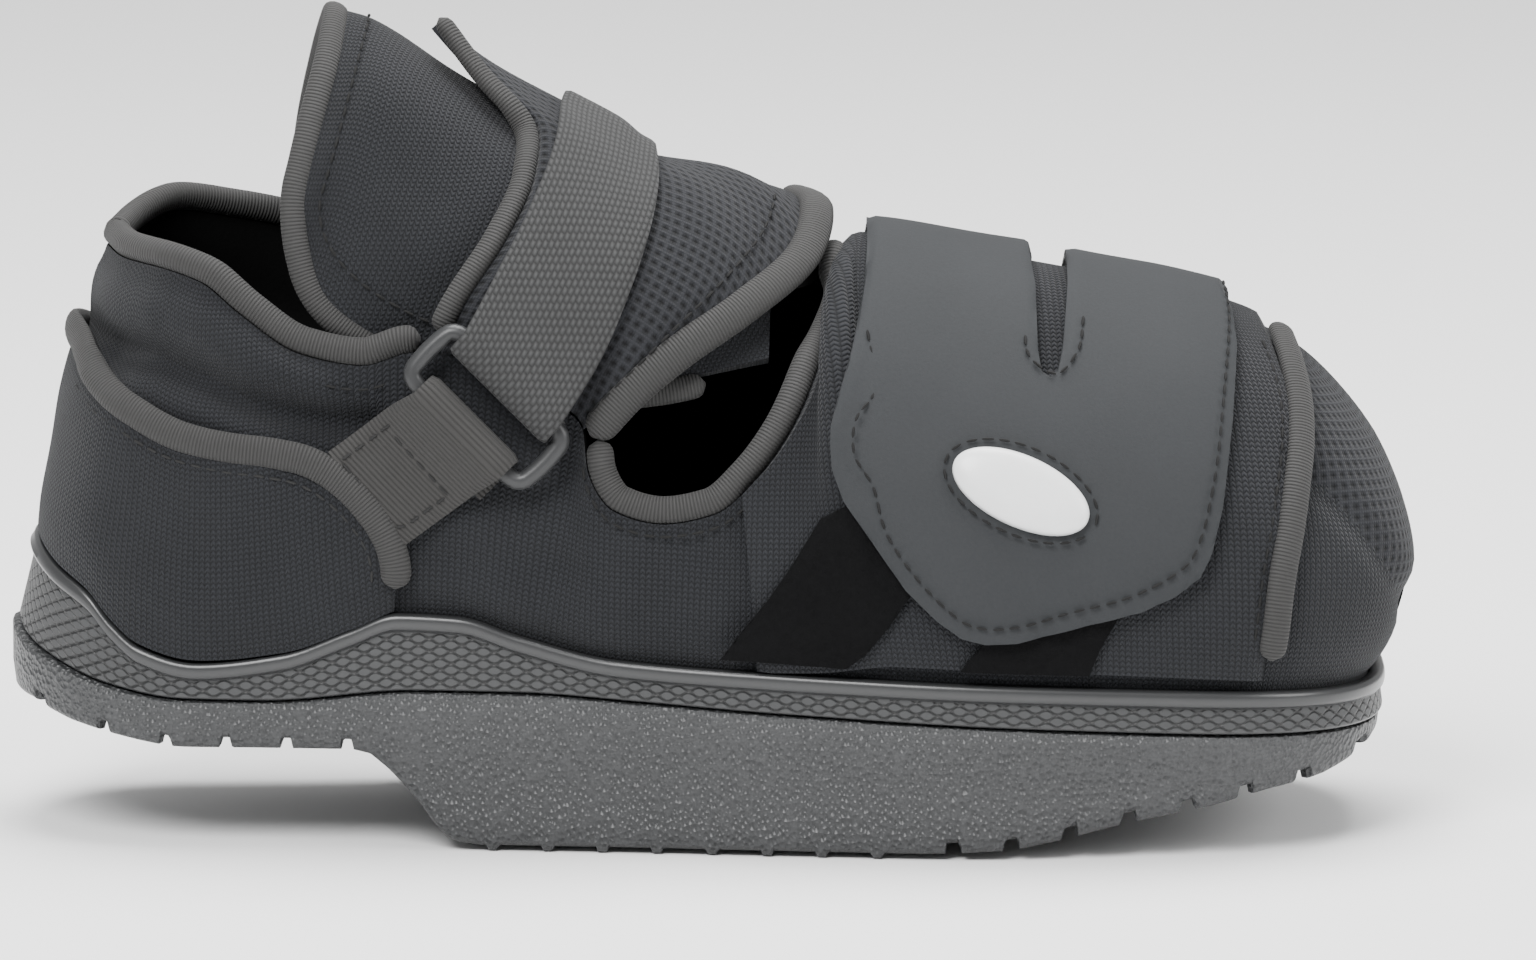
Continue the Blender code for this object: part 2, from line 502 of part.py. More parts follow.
def cup_shape(name, profile, slot, where=None, stations=None):
    """Closed body round the plan of the sole. profile(q) gives rows (inset, z) from the bottom
    middle of the wall to the top middle; opposite stations are joined across the shoe."""
    qs = stations or ring_stations()
    pts = []
    rows = []
    for q in qs:
        x, y, nx, ny = edge(q)
        middle = q <= 0 or q >= 1
        rows.append([(x - nx * d, 0.0 if middle else min(y - ny * d, -0.5), z) for d, z in profile(q)])
    m = len(rows[0])
    near = []
    far = []
    for i, row in enumerate(rows):
        near.append(len(pts))
        pts += row
        if 0 < i < len(rows) - 1:
            far.append(len(pts))
            pts += [(p[0], -p[1], p[2]) for p in row]
        else:
            far.append(near[-1])
    faces = []
    k = len(rows)
    for i in range(k - 1):
        for j in range(m - 1):
            faces.append((near[i] + j, near[i + 1] + j, near[i + 1] + j + 1, near[i] + j + 1))
            faces.append((far[i] + j, far[i] + j + 1, far[i + 1] + j + 1, far[i + 1] + j))
        for j in (0, m - 1):
            loop = [near[i] + j, near[i + 1] + j, far[i + 1] + j, far[i] + j]
            loop = [v for n, v in enumerate(loop) if v not in loop[:n]]
            faces.append(tuple(loop))
    return body(name, pts, faces, slot, where)


# Sole
def midsole_profile(q):
    x, y, nx, ny = edge(q)
    lo = groove_z(x - nx * 1.3)
    hi = rim_z(x)
    fl = min(floor_z(x), hi - 2.0)
    back = heel_lean(x, hi)
    mid = heel_lean(x, hi - 3.4)
    return [(1.3, lo), (0.5, lo + 0.9), (0.9 + mid, hi - 3.6), (0.1 + mid, hi - 3.0), (0.0 + back, hi - 0.8),
            (0.8 + back, hi), (LIP - 0.4 + back, hi), (LIP + back, hi - 0.6),
            (LIP + heel_lean(x, fl), fl)]


cup_shape("midsole", midsole_profile, "rubber_grey")


def insole_profile(q):
    x = edge(q)[0]
    fl = min(floor_z(x), rim_z(x) - 2.0) + GAP
    d = LIP + GAP + WALL + 1.2 + heel_lean(x, fl)
    return [(d, fl), (d, fl + INSOLE - 0.8), (d + 1.0, fl + INSOLE)]


cup_shape("insole", insole_profile, "foam_black")


def under_line():
    """Underside of the wedge with its notches and ribs, from heel to toe."""
    cuts = []
    first, count, wide, deep = sized([HEEL_NOTCH], "xnnn")[0]
    for i in range(int(count)):
        cuts.append((first + i * HEEL_PITCH, wide, deep))
    first, count, wide, deep = sized([FORE_NOTCH], "xnnn")[0]
    for i in range(int(count)):
        cuts.append((first + i * FORE_PITCH, wide, deep))
    first, count, pitch, wide = sized([RIB], "xnnn")[0]
    for i in range(int(count)):
        cuts.append((first + i * pitch, wide, -1.1))
    line = {}

    def base(x):
        return float(smooth(UNDER_T[:, 0], UNDER_T[:, 1], x))
    for x, z in UNDER_T:
        if not any(abs(x - c) < w / 2 + 0.6 for c, w, d in cuts):
            line[float(x)] = float(z)
    for c, w, d in cuts:
        lift = 0.0 if d < 0 else None
        for x, share in ((c - w / 2, 0), (c - w * 0.36, 1), (c + w * 0.36, 1), (c + w / 2, 0)):
            z = base(x)
            if share:
                z = lift if lift is not None else z + d
            line[float(x)] = z
    xs = sorted(line)
    return [(x, line[x]) for x in xs]


def build_outsole():
    lower = under_line()
    across = [edge(q) for q in ring_stations()]
    across = [HEEL_X - 4] + [e[0] - e[2] * 1.3 for e in across] + [TOE_X + 4]
    tops = [(x, groove_z(x) - GAP) for x in across]
    back = [(HEEL_X - 4, 29.0)]
    front = [(TOE_X + 4, 23.0)]
    loop = back + lower + front + tops[::-1]
    half = BALL_WIDTH * 0.6
    n = len(loop)
    pts = [(x, -half, z) for x, z in loop] + [(x, half, z) for x, z in loop]
    faces = [tuple(range(n)), tuple(range(2 * n - 1, n - 1, -1))]
    faces += [(i, i + n, (i + 1) % n + n, (i + 1) % n) for i in range(n)]
    ob = body("outsole", pts, faces, "sole_grey")

    def plan(q):
        x = edge(q)[0]
        heel = max(0.0, 1 - (x - HEEL_X) / HEEL_R)
        return [(3.2 - heel, -5.0), (2.4 - heel * 1.8, 15.0), (1.0 - heel, 26.0), (0.6 - 1.6 * heel, 34.0),
                (0.6 - 1.6 * heel, 60.0)]
    cut = cup_shape("sole_plan", plan, None, CUTTERS)
    cut.hide_render = True
    cut.display_type = "WIRE"
    mod = ob.modifiers.new("plan", "BOOLEAN")
    mod.operation = "INTERSECT"
    mod.solver = "EXACT"
    mod.object = cut
    return ob


build_outsole()

# Upper: both halves joined at the back, along the ridge and at the toe
V_ROWS = [0.0, 0.14, 0.3, 0.46, 0.62, 0.78, 0.9, 1.0]
NEAR_Q = HEEL_Q + [0.27, 0.31, 0.352, 0.385, 0.402, 0.418, 0.438, 0.46, 0.487, 0.51, 0.53, 0.55,
                   0.567, 0.58, 0.592]
FAR_Q = HEEL_Q + [0.27, 0.31, 0.352, 0.40, 0.45, 0.50, 0.54, 0.568, 0.587]
JOIN = [0.605, 0.64, 0.68, 0.72] + TOE_Q


def upper_column(side, q):
    x = edge(q)[0]
    low = min(floor_z(x), rim_z(x) - 2.0) + GAP + 0.25 * WALL * max(0.1, 1 - q / 0.2)
    foot, n = foot_point(side, q, low)
    pts = [foot]
    pts += [wall(side, q, v) for v in V_ROWS]
    return pts


def build_upper():
    pts = []
    normals = []
    index = {}
    m = len(V_ROWS) + 1
    cols = {"near": NEAR_Q + JOIN, "far": FAR_Q + JOIN}
    for side in ("near", "far"):
        for q in cols[side]:
            col = upper_column(side, q)
            for j in range(m):
                shared = q in (0.0, 1.0) or (j == m - 1 and q >= JOIN[0])
                key = (("both" if shared else side), q, j)
                if key not in index:
                    index[key] = len(pts)
                    p = np.array(col[j])
                    n = wall_normal(side, q, V_ROWS[max(j - 1, 0)])
                    if j == 0:
                        n = np.array([n[0], n[1], 0.0])
                        n = n / np.linalg.norm(n)
                    if shared:
                        p[1] = 0.0
                    pts.append(p)
                    normals.append(n)
                index[(side, q, j)] = index[key]
    faces = []
    for side in ("near", "far"):
        qs = cols[side]
        for a, b in zip(qs, qs[1:]):
            for j in range(m - 1):
                corners = ((a, j), (b, j), (b, j + 1), (a, j + 1))
                f = [index[(side, q, k)] for q, k in corners]
                if side == "far":
                    f = f[::-1]
                faces.append(tuple(f))
    return thicken("upper", pts, normals, faces, WALL, "mesh_charcoal")


build_upper()


# Overlays, each cut from a form that follows the upper's own grid
V_ROWS_OVER = [0.05] + V_ROWS[1:]
UNDER_Q = {"near": NEAR_Q + JOIN, "far": FAR_Q + JOIN}


def grid_form(name, first, last, lift, thickness, slot, past=0.0, rows=None):
    """Closed sheet over the near wall between two arc shares, running past the ridge where past is not 0."""
    qs = [q for q in UNDER_Q["near"] if first - 1e-6 <= q <= last + 1e-6]
    vs = [("near", v) for v in (rows or V_ROWS_OVER)]
    if past:
        vs = vs + [("far", v) for v in V_ROWS[::-1][1:] if v >= 1 - past - 1e-6]
    pts = []
    normals = []
    for q in qs:
        for side, v in vs:
            if q < JOIN_Q:
                v = min(v, 0.985)
            n = wall_normal(side, q, v)
            p = wall(side, q, v)
            if v >= 1 and q >= JOIN_Q:
                p[1] = 0.0
            pts.append(p + n * lift)
            normals.append(n)
    return thicken(name, pts, normals, grid_faces(len(qs), len(vs)), thickness, slot, outward=True)


def prism(name, outline, near_y, far_y):
    """Cutter: an outline in the side view drawn out across the shoe."""
    n = len(outline)
    pts = [(x, near_y, z) for x, z in outline] + [(x, far_y, z) for x, z in outline]
    faces = [tuple(range(n)), tuple(range(2 * n - 1, n - 1, -1))]
    faces += [(i, i + n, (i + 1) % n + n, (i + 1) % n) for i in range(n)]
    ob = body(name, pts, faces, None, CUTTERS)
    ob.hide_render = True
    ob.display_type = "WIRE"
    return ob


def keep_inside(ob, cutter):
    mod = ob.modifiers.new("outline", "BOOLEAN")
    mod.operation = "INTERSECT"
    mod.solver = "EXACT"
    mod.object = cutter


def surface_grid(side, last):
    out = []
    for q in np.linspace(0.0, last, 98):
        for v in np.linspace(0, 1, 21):
            out.append([q, v] + list(wall(side, q, v)))
    return np.array(out)


SURFACE = {"near": surface_grid("near", 0.97), "far": surface_grid("far", 0.6)}


def find_qv(x, z, side="near"):
    """Arc share and height share of a wall at a place in the side view."""
    grid = SURFACE[side]
    d = (grid[:, 2] - x) ** 2 + (grid[:, 4] - z) ** 2
    q, v = grid[int(np.argmin(d)), :2]
    for _ in range(6):
        p = wall(side, q, v)
        pq = (wall(side, q + 0.003, v) - wall(side, q - 0.003, v)) / 0.006
        pv = (wall(side, q, min(v + 0.01, 1)) - wall(side, q, max(v - 0.01, 0)))
        pv = pv / (min(v + 0.01, 1) - max(v - 0.01, 0))
        det = pq[0] * pv[2] - pq[2] * pv[0]
        if abs(det) < 1e-6:
            break
        ex, ez = x - p[0], z - p[2]
        q = float(np.clip(q + np.clip((ex * pv[2] - ez * pv[0]) / det, -0.03, 0.03), 0.0, 1.0))
        v = float(np.clip(v + np.clip((pq[0] * ez - pq[2] * ex) / det, -0.1, 0.1), 0.0, 1.0))
    return q, v


def on_wall(x, z, lift, side="near"):
    q, v = find_qv(x, z, side)
    return wall(side, q, v) + wall_normal(side, q, v) * lift


def bead_path(outline, aside, lift, side="near"):
    """Path of a bead beside an edge drawn in the side view, moved aside from it and lifted off the wall."""
    out = []
    pts = np.array(outline, float)
    for i, (x, z) in enumerate(pts):
        a = pts[max(i - 1, 0)]
        b = pts[min(i + 1, len(pts) - 1)]
        t = (b - a) / np.linalg.norm(b - a)
        out.append(on_wall(x - t[1] * aside, z + t[0] * aside, lift, side))
    return out


# Heel counter, the same on both sides, and its bound edge
def build_counter():
    qs = [q for q in HEEL_Q + [0.27, 0.31] if q <= 0.311]
    order = [("far", q) for q in qs[:0:-1]] + [("near", q) for q in qs]
    rows = V_ROWS[:-1]
    pts = []
    normals = []
    for side, q in order:
        for v in rows:
            v = max(v, 0.03)
            n = wall_normal(side, q, v)
            p = wall(side, q, v)
            if q == 0:
                p[1] = 0.0
            pts.append(p + n * GAP)
            normals.append(n)
    faces = grid_faces(len(order), len(rows))
    ob = thicken("heel_counter", pts, normals, faces, SHEET, "suede_grey", outward=True)
    edge_line = sized(COUNTER, "xz")
    outline = [tuple(p) for p in edge_line]
    outline += [(edge_line[-1][0], 20.0), (edge_line[0][0], 20.0)]
    keep_inside(ob, prism("counter_outline", outline, -0.7 * BALL_WIDTH, 0.7 * BALL_WIDTH))
    lift = GAP + COUNTER_BEAD + 0.6
    aside = COUNTER_BEAD + GAP
    above = 2.7 * aside
    tops = edge_line[edge_line[:, 0] < COUNTER_TURN * LENGTH]

    def back_point(side, q):
        vs = np.linspace(0.2, 0.95, 76)
        p = [wall(side, q, v) for v in vs]
        miss = [abs(c[2] - above - float(smooth(tops[:, 0], tops[:, 1], c[0]))) for c in p]
        k = int(np.argmin(miss))
        return p[k] + wall_normal(side, q, vs[k]) * lift
    path = []
    front = edge_line[edge_line[:, 0] >= COUNTER_TURN * LENGTH][:-1]
    back_q = [0.035, 0.07, 0.11, 0.15, 0.19, 0.225]
    path += bead_path(front, aside, lift, "far")[::-1]
    path += [back_point("far", q) for q in back_q[::-1]]
    first = back_point("near", 0.0)
    path += [np.array([first[0], 0.0, first[2]])]
    path += [back_point("near", q) for q in back_q]
    path += bead_path(front, aside, lift)
    tube("counter_binding", path, COUNTER_BEAD, "tape_grey")


COUNTER_TURN = -0.29


def build_vamp():
    ob = grid_form("vamp_panel", 0.487, 0.975, GAP, SHEET, "mesh_charcoal")
    front = [tuple(p) for p in sized(VAMP_FRONT, "xz")]
    rear = [tuple(p) for p in sized(VAMP_REAR, "xz")]
    outline = rear[::-1] + [(front[0][0], rear[0][1])] + front
    keep_inside(ob, prism("vamp_outline", outline, -0.7 * BALL_WIDTH, 0.1 * BALL_WIDTH))
    path = bead_path(front[2:-1], VAMP_BEAD + GAP, GAP + VAMP_BEAD + 0.2)
    tube("vamp_binding", path, VAMP_BEAD, "tape_grey")


def build_patches():
    for name, table in (("loop_patch_rear", PATCH_REAR), ("loop_patch_front", PATCH_FRONT)):
        ob = grid_form(name, 0.46, 0.80, PATCH_LIFT, PATCH_THICK, "fuzzy_black", rows=V_ROWS_OVER[:5])
        outline = [tuple(p) for p in sized(table, "xz")]
        keep_inside(ob, prism(name + "_outline", outline, -0.7 * BALL_WIDTH, 0.0))


def build_flap():
    ob = grid_form("forefoot_flap", 0.53, 0.95, FLAP_LIFT, FLAP_THICK, "suede_grey", past=0.40)
    outline = [tuple(p) for p in sized(FLAP, "xz")]
    keep_inside(ob, prism("flap_outline", outline, -0.7 * BALL_WIDTH, ARM_REACH))


def local_frame(centre, lean, lift):
    """Centre over the near wall, with the long axis, the short axis and the outward axis."""
    q, v = find_qv(*centre)
    p = wall("near", q, v)
    n = wall_normal("near", q, v)
    a = math.radians(lean)
    along = np.array([math.cos(a), 0.0, math.sin(a)])
    along = along - n * float(np.dot(along, n))
    along = along / np.linalg.norm(along)
    across = np.cross(n, along)
    return p + n * lift, along, across, n


def build_badge():
    lift = FLAP_LIFT + FLAP_THICK + BADGE_GAP
    c, along, across, n = local_frame(sized([BADGE_CENTRE], "xz")[0], BADGE_LEAN, lift)
    steps = 20
    rings = [(1.0, 0.0), (1.0, 0.4 * BADGE_RISE), (0.86, 0.76 * BADGE_RISE), (0.5, BADGE_RISE)]
    pts = []
    for share, h in rings:
        for i in range(steps):
            a = 2 * math.pi * i / steps
            pts.append(c + along * 0.5 * BADGE_LENGTH * share * math.cos(a)
                       + across * 0.5 * BADGE_WIDTH * share * math.sin(a) + n * h)
    faces = []
    for k in range(len(rings) - 1):
        for i in range(steps):
            j = (i + 1) % steps
            faces.append((k * steps + i, k * steps + j, (k + 1) * steps + j, (k + 1) * steps + i))
    faces.append(tuple(range(steps))[::-1])
    faces.append(tuple(range(3 * steps, 4 * steps)))
    body("badge", pts, faces, "badge_white")


build_counter()
build_vamp()
build_patches()
build_flap()
build_badge()

# Ankle flaps: arcs over the instep, from the root to the end
NEAR_FLAP_T = sized(NEAR_FLAP, "n" + "xyz" * 6)
FAR_FLAP_T = sized(FAR_FLAP, "n" + "xyz" * 6)
NEAR_ROOT = (0.322, 0.396)
FAR_ROOT = (0.244, 0.522)


def flap_point(side, f, b):
    """Outer face of an ankle flap: f from its rear to its front edge, b from its root to its end."""
    table, root = (NEAR_FLAP_T, NEAR_ROOT) if side == "near" else (FAR_FLAP_T, FAR_ROOT)
    q = root[0] + (root[1] - root[0]) * f
    top = wall(side, q, 1.0)
    up = top - wall(side, q, 0.94)
    up = up / np.linalg.norm(up)
    start = top + up * ROOT_GAP[side]
    rows = []
    for r in table:
        rows.append(r[1:])
    ctrl = flowing(table[:, 0], np.array(rows), f).reshape(6, 3)
    ctrl = np.vstack([start, ctrl])
    s = np.concatenate([[0], np.cumsum(np.linalg.norm(np.diff(ctrl, axis=0), axis=1))])
    s = s / s[-1]
    return flowing(s, ctrl, b)


ROOT_GAP = {"near": 0.5, "far": 1.1}


def flap_normal(side, f, b):
    e = 0.02
    pa = flap_point(side, min(f + e, 1), b) - flap_point(side, max(f - e, 0), b)
    pb = flap_point(side, f, min(b + e, 1)) - flap_point(side, f, max(b - e, 0))
    n = np.cross(pa, pb)
    if side == "far":
        n = -n
    return n / np.linalg.norm(n)


def build_ankle_flap(side, name, fs, bs):
    pts = [flap_point(side, f, b) for f in fs for b in bs]
    normals = [flap_normal(side, f, b) for f in fs for b in bs]
    faces = grid_faces(len(fs), len(bs))
    if side == "far":
        faces = [f[::-1] for f in faces]
    thicken(name, pts, normals, faces, SHEET, "mesh_charcoal")


NF = [0.0, 0.2, 0.405, 0.6, 0.72, 0.851, 0.93, 1.0]
NB = [0.0, 0.1, 0.2, 0.32, 0.44, 0.56, 0.68, 0.8, 0.9, 1.0]
build_ankle_flap("near", "near_ankle_flap", NF, NB)
FF = [0.0, 0.094, 0.237, 0.388, 0.561, 0.741, 0.921, 1.0]
build_ankle_flap("far", "far_ankle_flap", FF, NB)


# Rolled tape along the free edges
def edge_out(side, q):
    """Point on the middle of the upper's top edge and the way out of the wall there, across the edge."""
    a = max(q - 0.006, 0.0)
    b = min(q + 0.006, JOIN_Q)
    t = wall(side, b, 1.0) - wall(side, a, 1.0)
    if q == 0:
        t = np.array([0.0, -1.0 if side == "near" else 1.0, 0.0])
    n = wall_normal(side, q, 1.0 if q < JOIN_Q else 0.9)
    e = np.cross(n, t) if side == "near" else np.cross(t, n)
    e = e / np.linalg.norm(e)
    return wall(side, q, 1.0) - n * WALL / 2, e


def rim_path(side, qs, radius):
    out = []
    for q in qs:
        p, e = edge_out(side, q)
        out.append(p + e * (radius + GAP))
    return out


THROAT_END = 0.56


def build_rims():
    near_q = [q for q in NEAR_Q if q < NEAR_ROOT[0] - 0.008]
    far_q = [q for q in FAR_Q if q < FAR_ROOT[0] - 0.008]
    collar = rim_path("near", near_q[::-1], BINDING) + rim_path("far", far_q[1:], BINDING)
    tube("collar_binding", collar, BINDING, "tape_grey")
    throat_q = [q for q in NEAR_Q if NEAR_ROOT[1] + 0.004 < q < THROAT_END]
    path = rim_path("near", throat_q, BINDING)
    tube("throat_binding", path, BINDING, "tape_grey")
    return collar


def flap_edge(side, f, b, way, drop=SHEET / 2):
    """Path point of a bead beside an ankle flap's edge; way is the direction in f and in b."""
    p = flap_point(side, f, b)
    n = flap_normal(side, f, b)
    e = 0.03
    df = flap_point(side, min(f + e, 1), b) - flap_point(side, max(f - e, 0), b)
    db = flap_point(side, f, min(b + e, 1)) - flap_point(side, f, max(b - e, 0))
    df = df / np.linalg.norm(df)
    db = db / np.linalg.norm(db)
    out = way[0] * (df - db * float(np.dot(df, db))) + way[1] * (db - df * float(np.dot(df, db)))
    out = out / np.linalg.norm(out)
    return p - n * drop + out * (FLAP_BEAD + 2 * GAP)


def clear_of(path, other, room):
    """The first run of a path that stays a distance from another path."""
    out = []
    for p in path:
        if min(float(np.linalg.norm(p - o)) for o in other) < room:
            break
        out.append(p)
    return out


def build_flap_beads(collar):
    path = [flap_edge("near", 0.0, b, (-1, 0), FLAP_BEAD / 5) for b in NB[1:-1]]
    path += [flap_edge("near", 0.0, 0.98, (-1, 0), FLAP_BEAD / 5)]
    tube("near_flap_binding", path, FLAP_BEAD, "tape_grey")
    path = [flap_edge("far", 0.0, b, (-1, 0)) for b in NB[2:-1]]
    path += [flap_edge("far", 0.0, 1.0, (-1, 1))]
    path += [flap_edge("far", f, 1.0, (0, 1)) for f in FF[1:]]
    tube("far_flap_binding", clear_of(path, collar, BINDING + FLAP_BEAD + 4.5), FLAP_BEAD, "tape_grey")


build_flap_beads(build_rims())

# Loop, ankle strap and the tab that holds the loop
BAR_OUT = LOOP_BAR + 2 * GAP + STRAP_THICK / 2


def fold_path(reach):
    """Side view of webbing folded round a bar: along the webbing and above the loop's middle."""
    return [(LOOP_WIDTH / 2 + reach, -BAR_OUT), (LOOP_WIDTH / 2 + 1.5, -BAR_OUT),
            (LOOP_WIDTH / 2 - 0.7 * BAR_OUT, -0.7 * BAR_OUT), (LOOP_WIDTH / 2 - BAR_OUT, 0.0),
            (LOOP_WIDTH / 2 - 0.7 * BAR_OUT, 0.7 * BAR_OUT), (LOOP_WIDTH / 2 + 1.5, BAR_OUT)]


def build_loop():
    c, along, across, n = local_frame(sized([LOOP_CENTRE], "xz")[0], -LOOP_LEAN, LOOP_RISE)
    half_l = LOOP_LENGTH / 2
    half_w = LOOP_WIDTH / 2
    r = LOOP_CORNER
    path = []
    for cx, cy, start in ((half_l - r, half_w - r, 0), (-half_l + r, half_w - r, 90),
                          (-half_l + r, -half_w + r, 180), (half_l - r, -half_w + r, 270)):
        for k in range(4):
            a = math.radians(start + 30 * k)
            path.append(c + along * (cx + r * math.cos(a)) + across * (cy + r * math.sin(a)))
    tube("strap_loop", path, LOOP_BAR, "metal_grey", closed=True)
    return c, along, across, n


LOOP_FRAME = build_loop()


def over_surface():
    """What the strap lies on: both walls and the near flap."""
    pts = []
    faces = []
    for side, fn, us, vs in (("near", wall, np.linspace(0.2, 0.42, 23), np.linspace(0, 1, 16)),
                             ("far", wall, np.linspace(0.2, 0.56, 25), np.linspace(0, 1, 16)),
                             ("near", flap_point, np.linspace(0, 1, 21), np.linspace(0, 1, 31)),
                             ("far", flap_point, np.linspace(0, 1, 21), np.linspace(0, 0.5, 16))):
        first = len(pts)
        pts += [Vector(fn(side, u, v)) for u in us for v in vs]
        part = grid_faces(len(us), len(vs), first)
        faces += part if side == "near" else [f[::-1] for f in part]
    return BVHTree.FromPolygons(pts, faces)


OVER = over_surface()


def lay(p, lift):
    """Nearest place on the body to a point, lifted off it towards the outside."""
    hit, n, index, dist = OVER.find_nearest(Vector(p))
    mid = Vector((hit.x, 0.0, 80.0))
    if n.dot(hit - mid) < 0:
        n = -n
    return np.array(hit + n * lift)


def push_out(p, lift):
    """A point moved out to a distance off the body, where it lies nearer than that."""
    laid = lay(p, lift)
    foot = lay(p, 0.0)
    out = (laid - foot) / lift
    depth = float(np.dot(np.array(p) - foot, out))
    return laid if depth < lift else np.array(p)


def build_strap():
    c, along, across, n = LOOP_FRAME
    half = STRAP_WIDTH / 2
    shares = [-1.0, -0.5, 0.0, 0.5, 1.0]
    rows = []
    for d, h in fold_path(FOLD_REACH):
        rows.append([c + along * s * half + across * d + n * h for s in shares])
    ramp = LOOP_WIDTH / 2 + 6.0
    rows.append([c + along * s * half + across * ramp + n * (BAR_OUT + 0.6) for s in shares])
    table = sized(STRAP, "xyzxyz")
    steps = np.linspace(1.05, len(STRAP) - 1, 24)
    for k in steps:
        line = flowing(np.arange(len(table)), table, k)
        left, right = line[:3], line[3:]
        lift = STRAP_LIFT + STRAP_THICK / 2 + FOLD_STEP * max(0.0, 1 - (k - 1.05) / 1.1)
        mid = (left + right) / 2
        rows.append([lay(mid + (right - left) / 2 * s, lift) for s in shares])
    for _ in range(2):
        for i in range(len(fold_path(1)) + 2, len(rows) - 1):
            for j in range(len(shares)):
                rows[i][j] = (rows[i - 1][j] + 2 * rows[i][j] + rows[i + 1][j]) / 4
    for i in range(len(fold_path(1)) + 1, len(rows)):
        rows[i] = [push_out(p, STRAP_LIFT + STRAP_THICK / 2) for p in rows[i]]
    ob = sheet("ankle_strap", rows, "webbing_grey", STRAP_THICK, True)
    ob.modifiers["thickness"].offset = 0.0


def build_tab():
    c, along, across, n = LOOP_FRAME
    half = TAB_WIDTH / 2
    shares = [-1.0, 0.0, 1.0]
    rows = []
    for d, h in fold_path(TAB_FOLD):
        rows.append([c + along * s * half - across * d + n * h for s in shares])
    ramp = LOOP_WIDTH / 2 + 5.0
    rows.append([c + along * s * half - across * ramp + n * (BAR_OUT - 1.3) for s in shares])
    low, high = sized(TAB, "xz")
    a = c - across * ramp
    for t, extra in ((0.5, FOLD_STEP * 0.9), (0.8, 0.3), (1.0, 0.0)):
        row = []
        for s in shares:
            start = a + along * s * half
            share = (s + 1) / 2
            end_x = high[0] + (low[0] - high[0]) * share
            end_z = high[1] + (low[1] - high[1]) * share
            x = start[0] + (end_x - start[0]) * t
            z = start[2] + (end_z - start[2]) * t
            row.append(on_wall(x, z, GAP + 0.3 + STRAP_THICK / 2 + extra))
        rows.append(row)
    ob = sheet("loop_tab", rows, "webbing_grey", STRAP_THICK, True)
    ob.modifiers["thickness"].offset = 0.0


build_strap()
build_tab()
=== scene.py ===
"""Looks of a post operative shoe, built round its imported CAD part.

Lengths are in millimetres here, turned to metres when each mesh is made.
The toe points along +X and the closures are on -Y."""

import math

import bmesh
import bpy
import numpy as np
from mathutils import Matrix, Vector
from mathutils.bvhtree import BVHTree


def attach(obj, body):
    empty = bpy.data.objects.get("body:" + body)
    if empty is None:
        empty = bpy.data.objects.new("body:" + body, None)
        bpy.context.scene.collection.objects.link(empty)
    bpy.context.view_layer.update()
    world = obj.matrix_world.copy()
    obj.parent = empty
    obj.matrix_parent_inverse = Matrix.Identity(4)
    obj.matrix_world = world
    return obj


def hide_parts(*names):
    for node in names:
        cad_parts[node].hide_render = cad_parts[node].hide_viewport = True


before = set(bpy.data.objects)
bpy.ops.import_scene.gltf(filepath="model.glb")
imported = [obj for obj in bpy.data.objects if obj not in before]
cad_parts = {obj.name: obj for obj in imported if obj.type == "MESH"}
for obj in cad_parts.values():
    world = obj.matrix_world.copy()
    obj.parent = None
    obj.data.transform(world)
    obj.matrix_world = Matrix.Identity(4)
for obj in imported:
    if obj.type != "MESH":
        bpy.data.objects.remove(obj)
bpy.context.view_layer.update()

# Named sizes in millimetres
LENGTH = 294.8
BALL_WIDTH = 108.0
HEIGHT = 173.0
WALL = 2.6
GAP = 0.3
SHEET = 2.4
STRAP_THICK = 1.6
STRAP_WIDTH = 27.6
TAB_WIDTH = 25.0
LOOP_LENGTH = 32.8
LOOP_WIDTH = 13.6
LOOP_CORNER = 2.6
LOOP_RISE = 5.6
FOLD_REACH = 2.2
TAB_FOLD = 8.0
BINDING = 2.6
LOOP_BAR = 1.9
COUNTER_BEAD = 1.7
VAMP_BEAD = 1.6
FLAP_BEAD = 1.5
PATCH_THICK = 1.2
FLAP_THICK = 2.2
PATCH_LIFT = 2 * GAP + SHEET
FLAP_LIFT = PATCH_LIFT + PATCH_THICK + GAP
ARM_REACH = 27.0
BADGE_LENGTH = 30.2
BADGE_WIDTH = 14.8
BADGE_RISE = 2.5
BADGE_GAP = 0.9
LIP = 3.2
INSOLE = 3.5
HEEL_PITCH = 12.6
FORE_PITCH = 12.2
MM = 0.001
# Tables hold shares: x of the length, y and handles out of the ball width, z and handles up of the
# height; n is a plain number
SIZE = {"x": LENGTH, "y": BALL_WIDTH, "z": HEIGHT, "n": 1.0}


def sized(rows, kinds):
    """Turns shares of the named sizes into millimetres, column by column."""
    return np.array([[v * SIZE[k] for v, k in zip(row, kinds)] for row in rows])


# Plan of the sole: x, half width before the ends are rounded
PLAN = [(-0.4953, 0.3565), (-0.3528, 0.3657), (-0.2035, 0.3935), (-0.0678, 0.4259), (0.0678, 0.4676),
        (0.2035, 0.5), (0.329, 0.4815), (0.48, 0.4352)]
# Ends of the plan: x of the end, length of the rounding, squareness
HEEL_END = (-0.4953, 0.1425)
TOE_END = (0.48, 0.156)
HEEL_SQUARE = 2.15
TOE_SQUARE = 2.6
